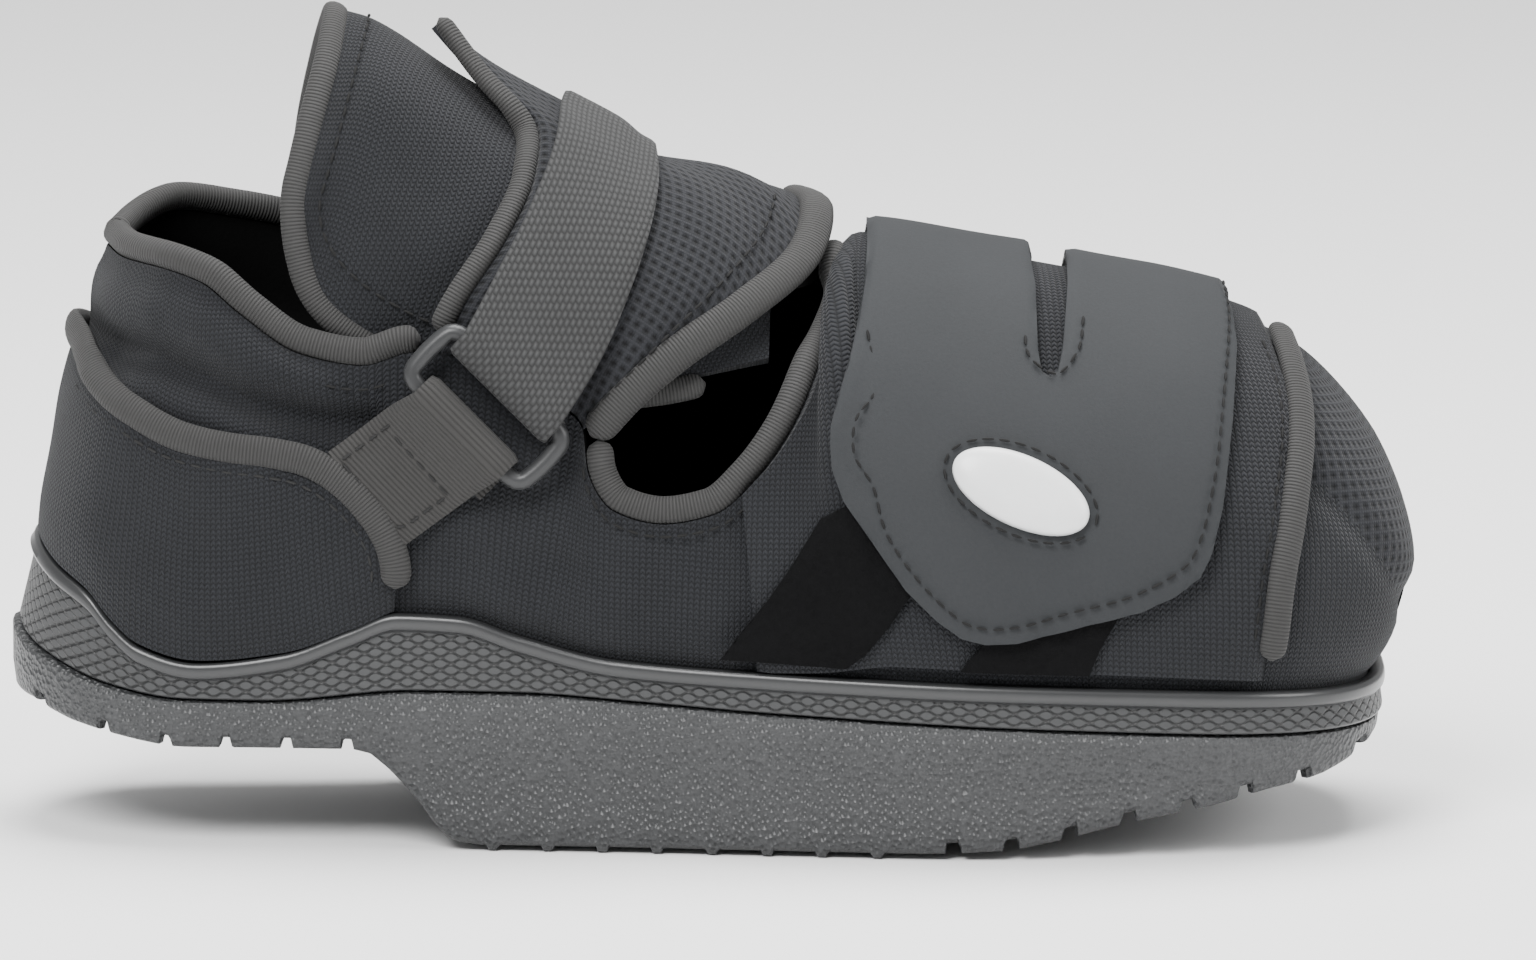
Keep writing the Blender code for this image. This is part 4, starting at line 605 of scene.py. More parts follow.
# Share of a flap over which its padding swells from the edge
FLAP_RIM = 0.1
# Height of the slow waves in the padding
WAVE = 0.35
EDGE_TAPER = 4.0
# How many times the forefoot flap's form is smoothed
OVER_EASE = 20
# Share of the length where the coarse mesh of the toe box starts
TOE_BOX = 0.30
# Height below every rim, where cut outlines close
BELOW_RIM = 20.0
# How far inside the edge the groove's height is read, and the least drop from the rim to the cup's floor
GROOVE_DEEP = 1.3
FLOOR_DROP = 2.0
# Strap: height over what it crosses, first row behind the fold, step of the fold
STRAP_SEAT = 1.3
STRAP_START = 1.15
FOLD_STEP = 0.8
TAB_SEAT = 1.6
# How far the tab's rear corners reach beyond the CAD's, x and height
TAB_LONGER = [(-3.5, -3.5), (-7.5, -2.5)]
BADGE_STEPS = 64
BADGE_RINGS = 12
# Distance of the badge's stitched ring from its edge
BADGE_SEAM = 1.8
WEBBING_COLUMN = 1.15
PEBBLES = 900.0
STITCH = 2.3
STITCH_GAP = 1.1
THREAD = 0.3
CAMERA_AT = (11.8, 0.0, 71.3)
CAMERA_AWAY = 2600.0
CAMERA_RISE = 10.0
PICTURE_WIDTH = 322.6
SENSOR = 36.0

# Soft troughs and ridges of the near side: depth, half width and the line in side view
TROUGHS = [(4.6, 3.6, [(-125.2, 103.0), (-114.7, 101.9), (-106.3, 99.4), (-98.1, 95.1), (-89.7, 92.1),
                       (-79.8, 90.6), (-70.8, 89.6)]),
           (0.7, 3.0, [(-58.0, 62.0), (-48.0, 60.0), (-36.0, 61.5), (-26.0, 60.0)]),
           (0.7, 3.5, [(-30.0, 100.0), (-33.0, 88.0), (-30.0, 76.0), (-22.0, 67.0)]),
           (0.8, 4.0, [(-4.0, 66.0), (4.0, 58.0), (8.0, 50.0)]),
           (0.6, 3.0, [(-112.0, 108.5), (-103.0, 108.0), (-94.0, 103.5)]),
           (1.3, 2.2, [(120.8, 80.1), (127.9, 74.3), (132.3, 69.6), (136.3, 64.1), (140.7, 57.1),
                       (145.3, 48.2), (146.2, 45.2)])]
SWELLS = [(2.6, 6.5, [(-122.0, 112.5), (-108.0, 110.5), (-96.0, 105.0), (-84.0, 100.5)]),
          (1.6, 5.0, [(-118.0, 95.5), (-104.0, 92.0), (-92.0, 87.0)]),
          (1.2, 7.0, [(-58.0, 74.0), (-46.0, 70.0), (-34.0, 72.0)]),
          (0.9, 8.0, [(-44.0, 52.0), (-20.0, 52.0), (2.0, 52.0)]),
          (1.1, 6.0, [(128.0, 84.0), (134.0, 78.0), (140.0, 68.0), (144.5, 56.0)])]
FAR_TROUGHS = [(1.2, 4.0, [(-122.0, 104.0), (-106.0, 99.0), (-88.0, 94.0), (-68.0, 90.0)]),
               (0.9, 4.0, [(-40.0, 92.0), (-22.0, 82.0), (-6.0, 78.0), (14.0, 80.0)]),
               (0.8, 3.5, [(20.0, 104.0), (34.0, 92.0), (44.0, 76.0), (48.0, 60.0)]),
               (0.8, 3.0, [(66.0, 106.0), (74.0, 92.0), (78.0, 76.0)])]
FAR_SWELLS = [(1.0, 7.0, [(-110.0, 107.0), (-90.0, 101.0), (-70.0, 98.0)]),
              (1.0, 9.0, [(-40.0, 72.0), (-10.0, 66.0), (20.0, 66.0)])]


def line_distance(x, z, line):
    """Distance of many places in side view from a line of points."""
    best = np.full(np.shape(x), 1e9)
    for (ax, az), (bx, bz) in zip(line, line[1:]):
        dx, dz = bx - ax, bz - az
        t = np.clip(((x - ax) * dx + (z - az) * dz) / (dx * dx + dz * dz), 0, 1)
        best = np.minimum(best, np.hypot(x - ax - t * dx, z - az - t * dz))
    return best


def relief(side, points):
    """How far the padded wall stands out at each point."""
    x, z = points[..., 0], points[..., 2]
    out = WAVE * np.sin(x / 6.1 + z / 9.0) * np.sin(z / 7.3 - x / 15.0)
    troughs, swells = (TROUGHS, SWELLS) if side == "near" else (FAR_TROUGHS, FAR_SWELLS)
    for depth, width, line in troughs:
        out = out - depth * np.exp(-(line_distance(x, z, line) / width) ** 2)
    for height, width, line in swells:
        out = out + height * np.exp(-(line_distance(x, z, line) / width) ** 2)
    return out


def wall_handles(side, q):
    """The four control points of the wall's curve at one arc share."""
    at = [wall(side, q, v) for v in (0.0, 1 / 3, 2 / 3, 1.0)]
    p1 = (-5 * at[0] + 18 * at[1] - 9 * at[2] + 2 * at[3]) / 6
    p2 = (2 * at[0] - 9 * at[1] + 18 * at[2] - 5 * at[3]) / 6
    return np.array([at[0], p1, p2, at[3]])


def grid_normals(points, flip):
    across = np.gradient(points, axis=0)
    up = np.gradient(points, axis=1)
    n = np.cross(across, up) * flip
    return n / np.maximum(np.linalg.norm(n, axis=2, keepdims=True), 1e-9)


def grid_lengths(points, axis):
    """Length along the rows or columns of a grid at each of its points."""
    steps = np.linalg.norm(np.diff(points, axis=axis), axis=2)
    start = np.zeros((len(points), 1) if axis else (1, points.shape[1]))
    return np.concatenate([start, np.cumsum(steps, axis=axis)], axis=axis)


def skin(side, qs, vs, lift=0.0):
    """Points, normals and lengths in mm over a grid of the upper's outer face."""
    vs = np.asarray(vs)
    handles = np.array([wall_handles(side, q) for q in qs])
    basis = np.array([(1 - vs) ** 3, 3 * vs * (1 - vs) ** 2, 3 * vs * vs * (1 - vs), vs ** 3])
    points = np.einsum("kj,ikc->ijc", basis, handles)
    normals = grid_normals(points, 1.0 if side == "near" else -1.0)
    for i, q in enumerate(qs):
        if q <= 0 or q >= 1:
            normals[i, :, 1] = 0
        if q >= JOIN_Q and vs[-1] >= 1:
            normals[i, -1, 1] = 0
            points[i, -1, 1] = 0
    if vs[-1] >= 1:
        early = np.array([q < JOIN_Q for q in qs])
        normals[early, -1] = normals[early, -2]
    size = np.linalg.norm(normals, axis=2)
    for i, j in np.argwhere(size < 1e-6):
        normals[i, j] = wall_normal(side, qs[i], vs[j])
    normals /= np.linalg.norm(normals, axis=2, keepdims=True)
    fade = np.clip(np.minimum(vs / FOOT_FADE, 1.0), 0, 1) * np.clip((1.02 - vs) / TOP_FADE, 0, 1)
    points = points + normals * ((relief(side, points) * fade)[..., None] + lift)
    length = OUTLINE_LENGTH * np.asarray(qs)
    u = np.repeat(length[:, None], len(vs), axis=1)
    v = grid_lengths(points, 1)
    return points, normals, np.stack([u, v], axis=2)


OUTLINE_LENGTH = float(np.sum(np.hypot(*np.diff(OUTLINE, axis=0).T)))


# Materials
class Finish:
    """A procedural material under construction."""

    def __init__(self, name, colour, rough, metallic=0.0, coat=0.0, sheen=0.0, shine=0.5):
        self.material = bpy.data.materials.new(name)
        self.material.use_nodes = True
        self.tree = self.material.node_tree
        self.shader = self.tree.nodes["Principled BSDF"]
        self.shader.inputs["Base Color"].default_value = (*colour, 1)
        self.shader.inputs["Roughness"].default_value = rough
        self.shader.inputs["Metallic"].default_value = metallic
        self.shader.inputs["Coat Weight"].default_value = coat
        self.shader.inputs["Coat Roughness"].default_value = 0.25
        self.shader.inputs["Sheen Weight"].default_value = sheen
        self.shader.inputs["Sheen Roughness"].default_value = 0.5
        self.shader.inputs["Specular IOR Level"].default_value = shine

    def feed(self, socket, value):
        if isinstance(value, bpy.types.NodeSocket):
            self.tree.links.new(value, socket)
        else:
            socket.default_value = value

    def math(self, operation, a, b=0.0):
        node = self.tree.nodes.new("ShaderNodeMath")
        node.operation = operation
        self.feed(node.inputs[0], a)
        self.feed(node.inputs[1], b)
        return node.outputs[0]

    def lengths(self):
        node = self.tree.nodes.new("ShaderNodeUVMap")
        split = self.tree.nodes.new("ShaderNodeSeparateXYZ")
        self.tree.links.new(node.outputs[0], split.inputs[0])
        return split.outputs[0], split.outputs[1]

    def place(self):
        return self.tree.nodes.new("ShaderNodeTexCoord").outputs["Object"]

    def noise(self, scale, detail=3.0, rough=0.6):
        node = self.tree.nodes.new("ShaderNodeTexNoise")
        self.tree.links.new(self.place(), node.inputs["Vector"])
        node.inputs["Scale"].default_value = scale
        node.inputs["Detail"].default_value = detail
        node.inputs["Roughness"].default_value = rough
        return node.outputs[0]

    def cells(self, scale):
        node = self.tree.nodes.new("ShaderNodeTexVoronoi")
        self.tree.links.new(self.place(), node.inputs["Vector"])
        node.inputs["Scale"].default_value = scale
        return node.outputs[0]

    def humps(self, length, pitch, shift=0.0):
        """0 to 1 to 0 along a length."""
        turn = self.math("MULTIPLY", self.math("ADD", self.math("DIVIDE", length, pitch), shift), math.pi)
        return self.math("ABSOLUTE", self.math("SINE", turn))

    def shade(self, height, dark, light):
        node = self.tree.nodes.new("ShaderNodeMix")
        node.data_type = "RGBA"
        self.feed(node.inputs[0], height)
        node.inputs[6].default_value = (*dark, 1)
        node.inputs[7].default_value = (*light, 1)
        self.tree.links.new(node.outputs[2], self.shader.inputs["Base Color"])

    def bump(self, height, strength, distance_mm):
        node = self.tree.nodes.new("ShaderNodeBump")
        node.inputs["Strength"].default_value = strength
        node.inputs["Distance"].default_value = distance_mm * MM
        self.tree.links.new(height, node.inputs["Height"])
        before = self.shader.inputs["Normal"].links
        if before:
            self.tree.links.new(before[0].from_socket, node.inputs["Normal"])
        self.tree.links.new(node.outputs[0], self.shader.inputs["Normal"])


def knit_finish(name, dark, light, column, row):
    """Knit spacer mesh: columns of small V stitches."""
    f = Finish(name, light, 0.85, sheen=0.06, shine=0.22)
    u, v = f.lengths()
    c = f.math("FRACT", f.math("DIVIDE", u, column))
    off = f.math("MULTIPLY", f.math("ABSOLUTE", f.math("SUBTRACT", c, 0.5)), 2.0)
    phase = f.math("ADD", f.math("DIVIDE", v, row), f.math("MULTIPLY", off, 0.55))
    legs = f.math("ABSOLUTE", f.math("SINE", f.math("MULTIPLY", phase, math.pi)))
    groove = f.math("SUBTRACT", 1.0, f.math("POWER", off, 4.0))
    height = f.math("MULTIPLY", legs, groove)
    tone = f.math("ADD", f.math("MULTIPLY", height, 0.75), f.math("MULTIPLY", f.noise(55.0), 0.35))
    f.shade(tone, dark, light)
    f.bump(height, 0.7, 0.45)
    return f.material


def grid_finish(name, dark, light, pitch):
    """Coarse spacer mesh with rows of small holes."""
    f = Finish(name, light, 0.85, sheen=0.06, shine=0.22)
    u, v = f.lengths()
    a = f.humps(u, pitch)
    b = f.humps(v, pitch, 0.5)
    hole = f.math("POWER", f.math("MULTIPLY", a, b), 1.6)
    fine = f.math("MULTIPLY", f.humps(u, pitch / 4), f.humps(v, pitch / 3))
    height = f.math("ADD", f.math("SUBTRACT", 1.0, hole), f.math("MULTIPLY", fine, 0.25))
    tone = f.math("SUBTRACT", f.math("ADD", height, f.math("MULTIPLY", f.noise(60.0), 0.25)), 0.25)
    f.shade(tone, dark, light)
    f.bump(height, 0.8, 0.5)
    return f.material


def tape_finish(name, dark, light, pitch):
    """Woven tape with ribs across its length."""
    f = Finish(name, light, 0.75, sheen=0.05, shine=0.3)
    u = f.lengths()[0]
    ribs = f.humps(u, pitch)
    tone = f.math("ADD", f.math("MULTIPLY", ribs, 0.8), f.math("MULTIPLY", f.noise(80.0), 0.3))
    f.shade(tone, dark, light)
    f.bump(ribs, 0.8, 0.3)
    return f.material


def webbing_finish(name, dark, light):
    """Strap of fine dashes in staggered rows."""
    f = Finish(name, light, 0.75, sheen=0.05, shine=0.3)
    u, v = f.lengths()
    column = f.math("DIVIDE", v, WEBBING_COLUMN)
    even = f.math("MULTIPLY", f.math("MODULO", f.math("FLOOR", column), 2.0), 0.5)
    dash = f.math("SINE", f.math("MULTIPLY", f.math("ADD", f.math("DIVIDE", u, 1.9), even), math.pi))
    height = f.math("MULTIPLY", f.math("ABSOLUTE", dash), f.humps(v, WEBBING_COLUMN))
    tone = f.math("ADD", f.math("MULTIPLY", height, 0.9), f.math("MULTIPLY", f.noise(70.0), 0.25))
    f.shade(tone, dark, light)
    f.bump(height, 0.8, 0.35)
    return f.material


def grain_finish(name, dark, light, rough, scale, depth, coat=0.0, sheen=0.0, shine=0.3):
    """Suede, pile or lining: a fine grain with slow shifts of tone."""
    f = Finish(name, light, rough, coat=coat, sheen=sheen, shine=shine)
    grain = f.noise(scale, 4.0, 0.7)
    slow = f.noise(35.0, 2.0)
    f.shade(f.math("ADD", f.math("MULTIPLY", grain, 0.7), f.math("MULTIPLY", slow, 0.4)), dark, light)
    f.bump(grain, 0.7, depth)
    return f.material


def rubber_finish(name, dark, light, rough, pebble):
    f = Finish(name, light, rough)
    slow = f.noise(26.0, 3.0)
    tone = f.math("MULTIPLY", slow, f.math("POWER", f.cells(PEBBLES), 0.5)) if pebble else slow
    f.shade(tone, dark, light)
    if pebble:
        f.bump(f.cells(PEBBLES), 0.9, 0.8)
    f.bump(f.noise(1500.0), 0.3, 0.08)
    return f.material


def diamond_finish(name, dark, light):
    """Raised diamonds in a band, wider than tall."""
    f = Finish(name, light, 0.5)
    u, v = f.lengths()
    wide = f.math("DIVIDE", u, 4.5)
    tall = f.math("DIVIDE", v, 2.6)
    rising = f.math("SINE", f.math("MULTIPLY", f.math("ADD", wide, tall), math.pi))
    falling = f.math("SINE", f.math("MULTIPLY", f.math("SUBTRACT", wide, tall), math.pi))
    height = f.math("ABSOLUTE", f.math("MULTIPLY", rising, falling))
    height = f.math("MINIMUM", f.math("MULTIPLY", height, 2.4), 1.0)
    f.shade(height, dark, light)
    f.bump(height, 0.9, 0.5)
    return f.material


LOOKS = {
    "knit": knit_finish("knit_charcoal", (0.0015, 0.0017, 0.0023), (0.0166, 0.0177, 0.0208), 1.25, 1.1),
    "grid": grid_finish("mesh_coarse", (0.0013, 0.0015, 0.0020), (0.0164, 0.0172, 0.0201), 2.3),
    "tape": tape_finish("tape_ribbed", (0.0150, 0.0147, 0.0144), (0.0334, 0.0328, 0.0322), 0.75),
    "webbing": webbing_finish("webbing_woven", (0.0091, 0.0091, 0.0091), (0.0378, 0.0383, 0.0388)),
    "tab": tape_finish("tab_ribbed", (0.0126, 0.0122, 0.0116), (0.0296, 0.0285, 0.0274), 1.0),
    "suede": grain_finish("suede_fine", (0.0134, 0.0147, 0.0159), (0.0257, 0.0275, 0.03), 0.8, 1500.0, 0.1),
    "pile": grain_finish("pile_black", (0.0005, 0.0005, 0.0005), (0.0055, 0.0055, 0.006), 0.98, 700.0, 0.6,
                         shine=0.1),
    "lining": grain_finish("lining_black", (0.001, 0.001, 0.001), (0.004, 0.004, 0.004), 0.95, 1000.0, 0.2,
                           shine=0.1),
    "rim": rubber_finish("rubber_rim", (0.0203, 0.0207, 0.0216), (0.0279, 0.0288, 0.0297), 0.3, False),
    "wedge": rubber_finish("rubber_wedge", (0.0220, 0.0231, 0.0242), (0.0429, 0.0440, 0.0457), 0.42, True),
    "diamond": diamond_finish("rubber_diamond", (0.0060, 0.0063, 0.0065), (0.0310, 0.0320, 0.0330)),
    "loop": grain_finish("loop_satin", (0.024, 0.0246, 0.0252), (0.033, 0.0336, 0.0348), 0.35, 500.0, 0.05),
    "badge": grain_finish("badge_white", (0.7, 0.71, 0.71), (0.8, 0.81, 0.81), 0.3, 400.0, 0.02, coat=0.4),
    "thread": grain_finish("thread_black", (0.002, 0.002, 0.002), (0.008, 0.008, 0.008), 0.8, 1500.0, 0.05),
    "thread_grey": grain_finish("thread_grey", (0.008, 0.008, 0.008), (0.02, 0.02, 0.02), 0.8, 1500.0, 0.05),
}


# Meshes
def outward_mesh(name, points, faces):
    """Mesh with its faces turned to the outside."""
    mesh = bpy.data.meshes.new(name)
    mesh.from_pydata(points, [], faces)
    work = bmesh.new()
    work.from_mesh(mesh)
    bmesh.ops.recalc_face_normals(work, faces=work.faces)
    work.to_mesh(mesh)
    work.free()
    return mesh


def add_piece(name, points, faces, looks, uv, nodes, which=None, sharp=50.0):
    mesh = outward_mesh(name, (np.asarray(points) * MM).tolist(), faces)
    for look in looks:
        mesh.materials.append(LOOKS[look])
    layer = mesh.uv_layers.new(name="lengths")
    corner = np.empty(len(mesh.loops), dtype=np.int32)
    mesh.loops.foreach_get("vertex_index", corner)
    layer.data.foreach_set("uv", np.asarray(uv, dtype=np.float32)[corner].ravel())
    if which is not None:
        mesh.polygons.foreach_set("material_index", np.asarray(which, dtype=np.int32))
    mesh.shade_smooth()
    mesh.set_sharp_from_angle(angle=math.radians(sharp))
    ob = bpy.data.objects.new(name, mesh)
    bpy.context.scene.collection.objects.link(ob)
    if nodes is not None:
        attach(ob, "root")
        if nodes:
            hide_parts(*nodes)
    return ob


def grid_quads(n, m):
    a = np.arange(n * m).reshape(n, m)
    return np.stack([a[:-1, :-1], a[1:, :-1], a[1:, 1:], a[:-1, 1:]], axis=2).reshape(-1, 4)


def shell(name, points, normals, uv, thickness, looks, nodes, inward=True, flip=False):
    """Closed sheet: a grid, the same grid moved along its normals, and a band round the edge."""
    n, m = points.shape[:2]
    way = -1.0 if inward else 1.0
    other = points + normals * (way * np.asarray(thickness))[..., None]
    quads = grid_quads(n, m)
    if flip:
        quads = quads[:, ::-1]
    count = n * m
    ring = [i * m for i in range(n)] + [(n - 1) * m + j for j in range(1, m)]
    ring += [i * m + m - 1 for i in range(n - 2, -1, -1)] + [j for j in range(m - 2, 0, -1)]
    band = []
    for a, b in zip(ring, ring[1:] + ring[:1]):
        band.append((b, a, a + count, b + count) if not flip else (a, b, b + count, a + count))
    faces = quads.tolist() + (quads[:, ::-1] + count).tolist() + band
    outer, inner = (0, len(looks) - 1) if inward else (len(looks) - 1, 0)
    which = [outer] * len(quads) + [inner] * len(quads) + [0] * len(band)
    points = np.concatenate([points.reshape(-1, 3), other.reshape(-1, 3)])
    uv = np.concatenate([uv.reshape(-1, 2)] * 2)
    return add_piece(name, points, faces, looks, uv, nodes, which)


def resample(path, step=1.0, closed=False):
    """Smooth curve through path points, in even steps."""
    path = np.asarray(path, float)
    if closed:
        path = np.vstack([path[-2:], path, path[:3]])
    s = walked(path)
    first, last = (s[2], s[-3]) if closed else (0.0, s[-1])
    at = np.linspace(first, last, max(int((last - first) / step), 4))
    m = np.gradient(path, s, axis=0)
    k = np.clip(np.searchsorted(s, at, side="right") - 1, 0, len(s) - 2)
    h = (s[k + 1] - s[k])[:, None]
    t = ((at - s[k]) / h[:, 0])[:, None]
    out = cubic(t, h, path[k], path[k + 1], m[k], m[k + 1])
    if closed:
        return out[:-1], (at - first)[:-1]
    return out, at - first


def sweep(name, path, out, wide, thick, look, nodes, closed=False, sides=16):
    """Rounded tape along a path. out gives the outward way at each path point; wide lies across it."""
    path, along = resample(path, closed=closed)
    n = len(path)
    out = np.asarray(out, float)
    if out.ndim == 1:
        out = np.repeat(out[None], n, axis=0)
    else:
        out = np.stack([np.interp(np.linspace(0, 1, n), np.linspace(0, 1, len(out)), out[:, c])
                        for c in range(3)], axis=1)
    tangent = np.gradient(path, axis=0)
    if closed:
        tangent = np.roll(path, -1, axis=0) - np.roll(path, 1, axis=0)
    tangent /= np.linalg.norm(tangent, axis=1, keepdims=True)
    side = np.cross(tangent, out)
    side /= np.linalg.norm(side, axis=1, keepdims=True)
    up = np.cross(side, tangent)
    points = []
    uv = []
    end = np.ones(n)
    if not closed:
        end = np.clip(np.minimum(along, along[-1] - along) / wide, 0, 1)
        end = np.sqrt(np.maximum(1 - (1 - end) ** 2, 0.02))
    for k in range(sides + 1):
        a = 2 * math.pi * k / sides
        row = path + side * (wide * math.cos(a) * end)[:, None] + up * (thick * math.sin(a) * end)[:, None]
        points.append(row)
        uv.append(np.stack([along, np.full(n, a * wide)], axis=1))
    points = np.stack(points[:-1], axis=1).reshape(-1, 3)
    uv = np.stack(uv[:-1], axis=1).reshape(-1, 2)
    faces = []
    for i in range(n if closed else n - 1):
        for k in range(sides):
            a, b = i * sides + k, ((i + 1) % n) * sides + k
            c, d = i * sides + (k + 1) % sides, ((i + 1) % n) * sides + (k + 1) % sides
            faces.append((a, c, d, b))
    if not closed:
        faces.append(tuple(range(sides))[::-1])
        faces.append(tuple(range((n - 1) * sides, n * sides)))
    return add_piece(name, points, faces, [look], uv, nodes, sharp=70.0)


def stitches(name, path, lift, look="thread", closed=False):
    """Row of short threads along a path; lift is the outward way."""
    path, along = resample(path, 0.25, closed)
    lift = np.asarray(lift, float)
    points = []
    faces = []
    step = STITCH + STITCH_GAP
    for k in range(int(along[-1] / step)):
        a = path[np.searchsorted(along, k * step)]
        b = path[min(np.searchsorted(along, k * step + STITCH), len(path) - 1)]
        t = b - a
        if np.linalg.norm(t) < 0.5:
            continue
        t = t / np.linalg.norm(t)
        up = lift - t * float(np.dot(lift, t))
        up = up / np.linalg.norm(up)
        aside = np.cross(t, up)
        first = len(points)
        for p, grow in ((a, 0.4), (a + t * 0.5, 1.0), (b - t * 0.5, 1.0), (b, 0.4)):
            for j in range(6):
                w = math.pi * j / 3
                points.append(p + (aside * math.cos(w) + up * math.sin(w)) * THREAD * grow)
        for i in range(3):
            for j in range(6):
                c = first + i * 6
                faces.append((c + j, c + (j + 1) % 6, c + 6 + (j + 1) % 6, c + 6 + j))
        faces.append(tuple(range(first, first + 6))[::-1])
        faces.append(tuple(range(first + 18, first + 24)))
    uv = np.zeros((len(points), 2))
    return add_piece(name, points, faces, [look], uv, [])


# Sole
def ring_piece(name, profile, count, looks, nodes, which=None):
    """Both halves of a part that follows the sole's outline. profile(q) gives rows of inset and height."""
    qs = np.linspace(0.0, 1.0, count)
    near = []
    for q in qs:
        x, y, nx, ny = edge(q)
        middle = q <= 0 or q >= 1
        near.append([(x - nx * d, 0.0 if middle else min(y - ny * d, -0.3), z) for d, z in profile(q)])
    near = np.array(near)
    far = near * np.array([1, -1, 1])
    n, m = near.shape[:2]
    quads = grid_quads(n, m)
    faces = quads.tolist() + (quads[:, ::-1] + n * m).tolist()
    marks = list(which) * (n - 1) * 2 if which else [0] * len(faces)
    for i in range(n - 1):
        for j in (0, m - 1):
            a, b = i * m + j, (i + 1) * m + j
            face = (a, b, b + n * m, a + n * m)
            faces.append(face[::-1] if j == 0 else face)
            marks.append(marks[0] if j == 0 else marks[m - 2])
    v = grid_lengths(near, 1)
    u = np.repeat((OUTLINE_LENGTH * np.asarray(qs))[:, None], m, axis=1)
    uv = np.stack([u, v], axis=2).reshape(-1, 2)
    points = np.concatenate([near.reshape(-1, 3), far.reshape(-1, 3)])
    return add_piece(name, points, faces, looks, np.concatenate([uv, uv]), nodes, marks, sharp=40.0)


def rim_profile(q):
    x, _, nx, _ = edge(q)
    lo = groove_z(x - nx * GROOVE_DEEP)
    hi = rim_z(x)
    fl = min(floor_z(x), hi - FLOOR_DROP)
    back = heel_lean(x, hi)
    mid = heel_lean(x, hi - 3.4)
    band = [(0.55 + (0.5 + mid) * t, lo + 0.9 + (hi - 4.7 - lo) * t) for t in np.linspace(0, 1, 8)]
    return ([(1.6, lo), (0.9, lo + 0.2), (0.6, lo + 0.6)] + band
            + [(1.1 + mid, hi - 3.6), (0.6 + mid, hi - 3.3), (0.15 + mid, hi - 2.9), (0.0 + mid, hi - 2.2),
               (0.0 + back, hi - 1.1), (0.2 + back, hi - 0.45), (0.6 + back, hi - 0.1), (1.1 + back, hi),
               (LIP - 0.9 + back, hi), (LIP - 0.2 + back, hi - 0.3), (LIP + back, hi - 1.0),
               (LIP + heel_lean(x, fl), fl)])


RIM_MARKS = [0, 0] + [1] * 8 + [0] * 12
ring_piece("look_midsole", rim_profile, MIDSOLE_STEPS, ["rim", "diamond"], ["midsole"],
           RIM_MARKS)

UNDER_LINE = np.array(under_line())


def under_z(x):
    return float(np.interp(x, UNDER_LINE[:, 0], UNDER_LINE[:, 1]))


def wedge_profile(q):
    x, _, nx, _ = edge(q)
    heel = max(0.0, 1 - (x - HEEL_X) / HEEL_R)
    at = [-5.0, 15.0, 26.0, 34.0, 60.0]
    inset = [3.2 - heel, 2.4 - heel * 1.8, 1.0 - heel, 0.6 - 1.6 * heel, 0.6 - 1.6 * heel]
    top = groove_z(x - nx * GROOVE_DEEP) - GAP
    low = under_z(x - nx * 2.0)
    rows = [(3.2, low), (1.6, low + 0.05), (0.75, low + 0.3), (0.25, low + 0.8)]
    out = [(float(np.interp(z, at, inset)) + d, z) for d, z in rows]
    for z in np.linspace(low + 1.4, top - 0.9, 9):
        out.append((float(np.interp(z, at, inset)), z))
    last = float(np.interp(top, at, inset))
    return out + [(last + 0.25, top - 0.35), (last + 1.0, top), (last + 6.0, top)]


ring_piece("look_outsole", wedge_profile, WEDGE_STEPS, ["wedge"], ["outsole"])


def bed_profile(q):
    x = edge(q)[0]
    fl = min(floor_z(x), rim_z(x) - FLOOR_DROP) + GAP
    d = LIP + GAP + WALL + 1.2 + heel_lean(x, fl)
    return [(d, fl), (d, fl + INSOLE - 1.0), (d + 0.4, fl + INSOLE - 0.4), (d + 1.4, fl + INSOLE)]


ring_piece("look_insole", bed_profile, INSOLE_STEPS, ["lining"], ["insole"])


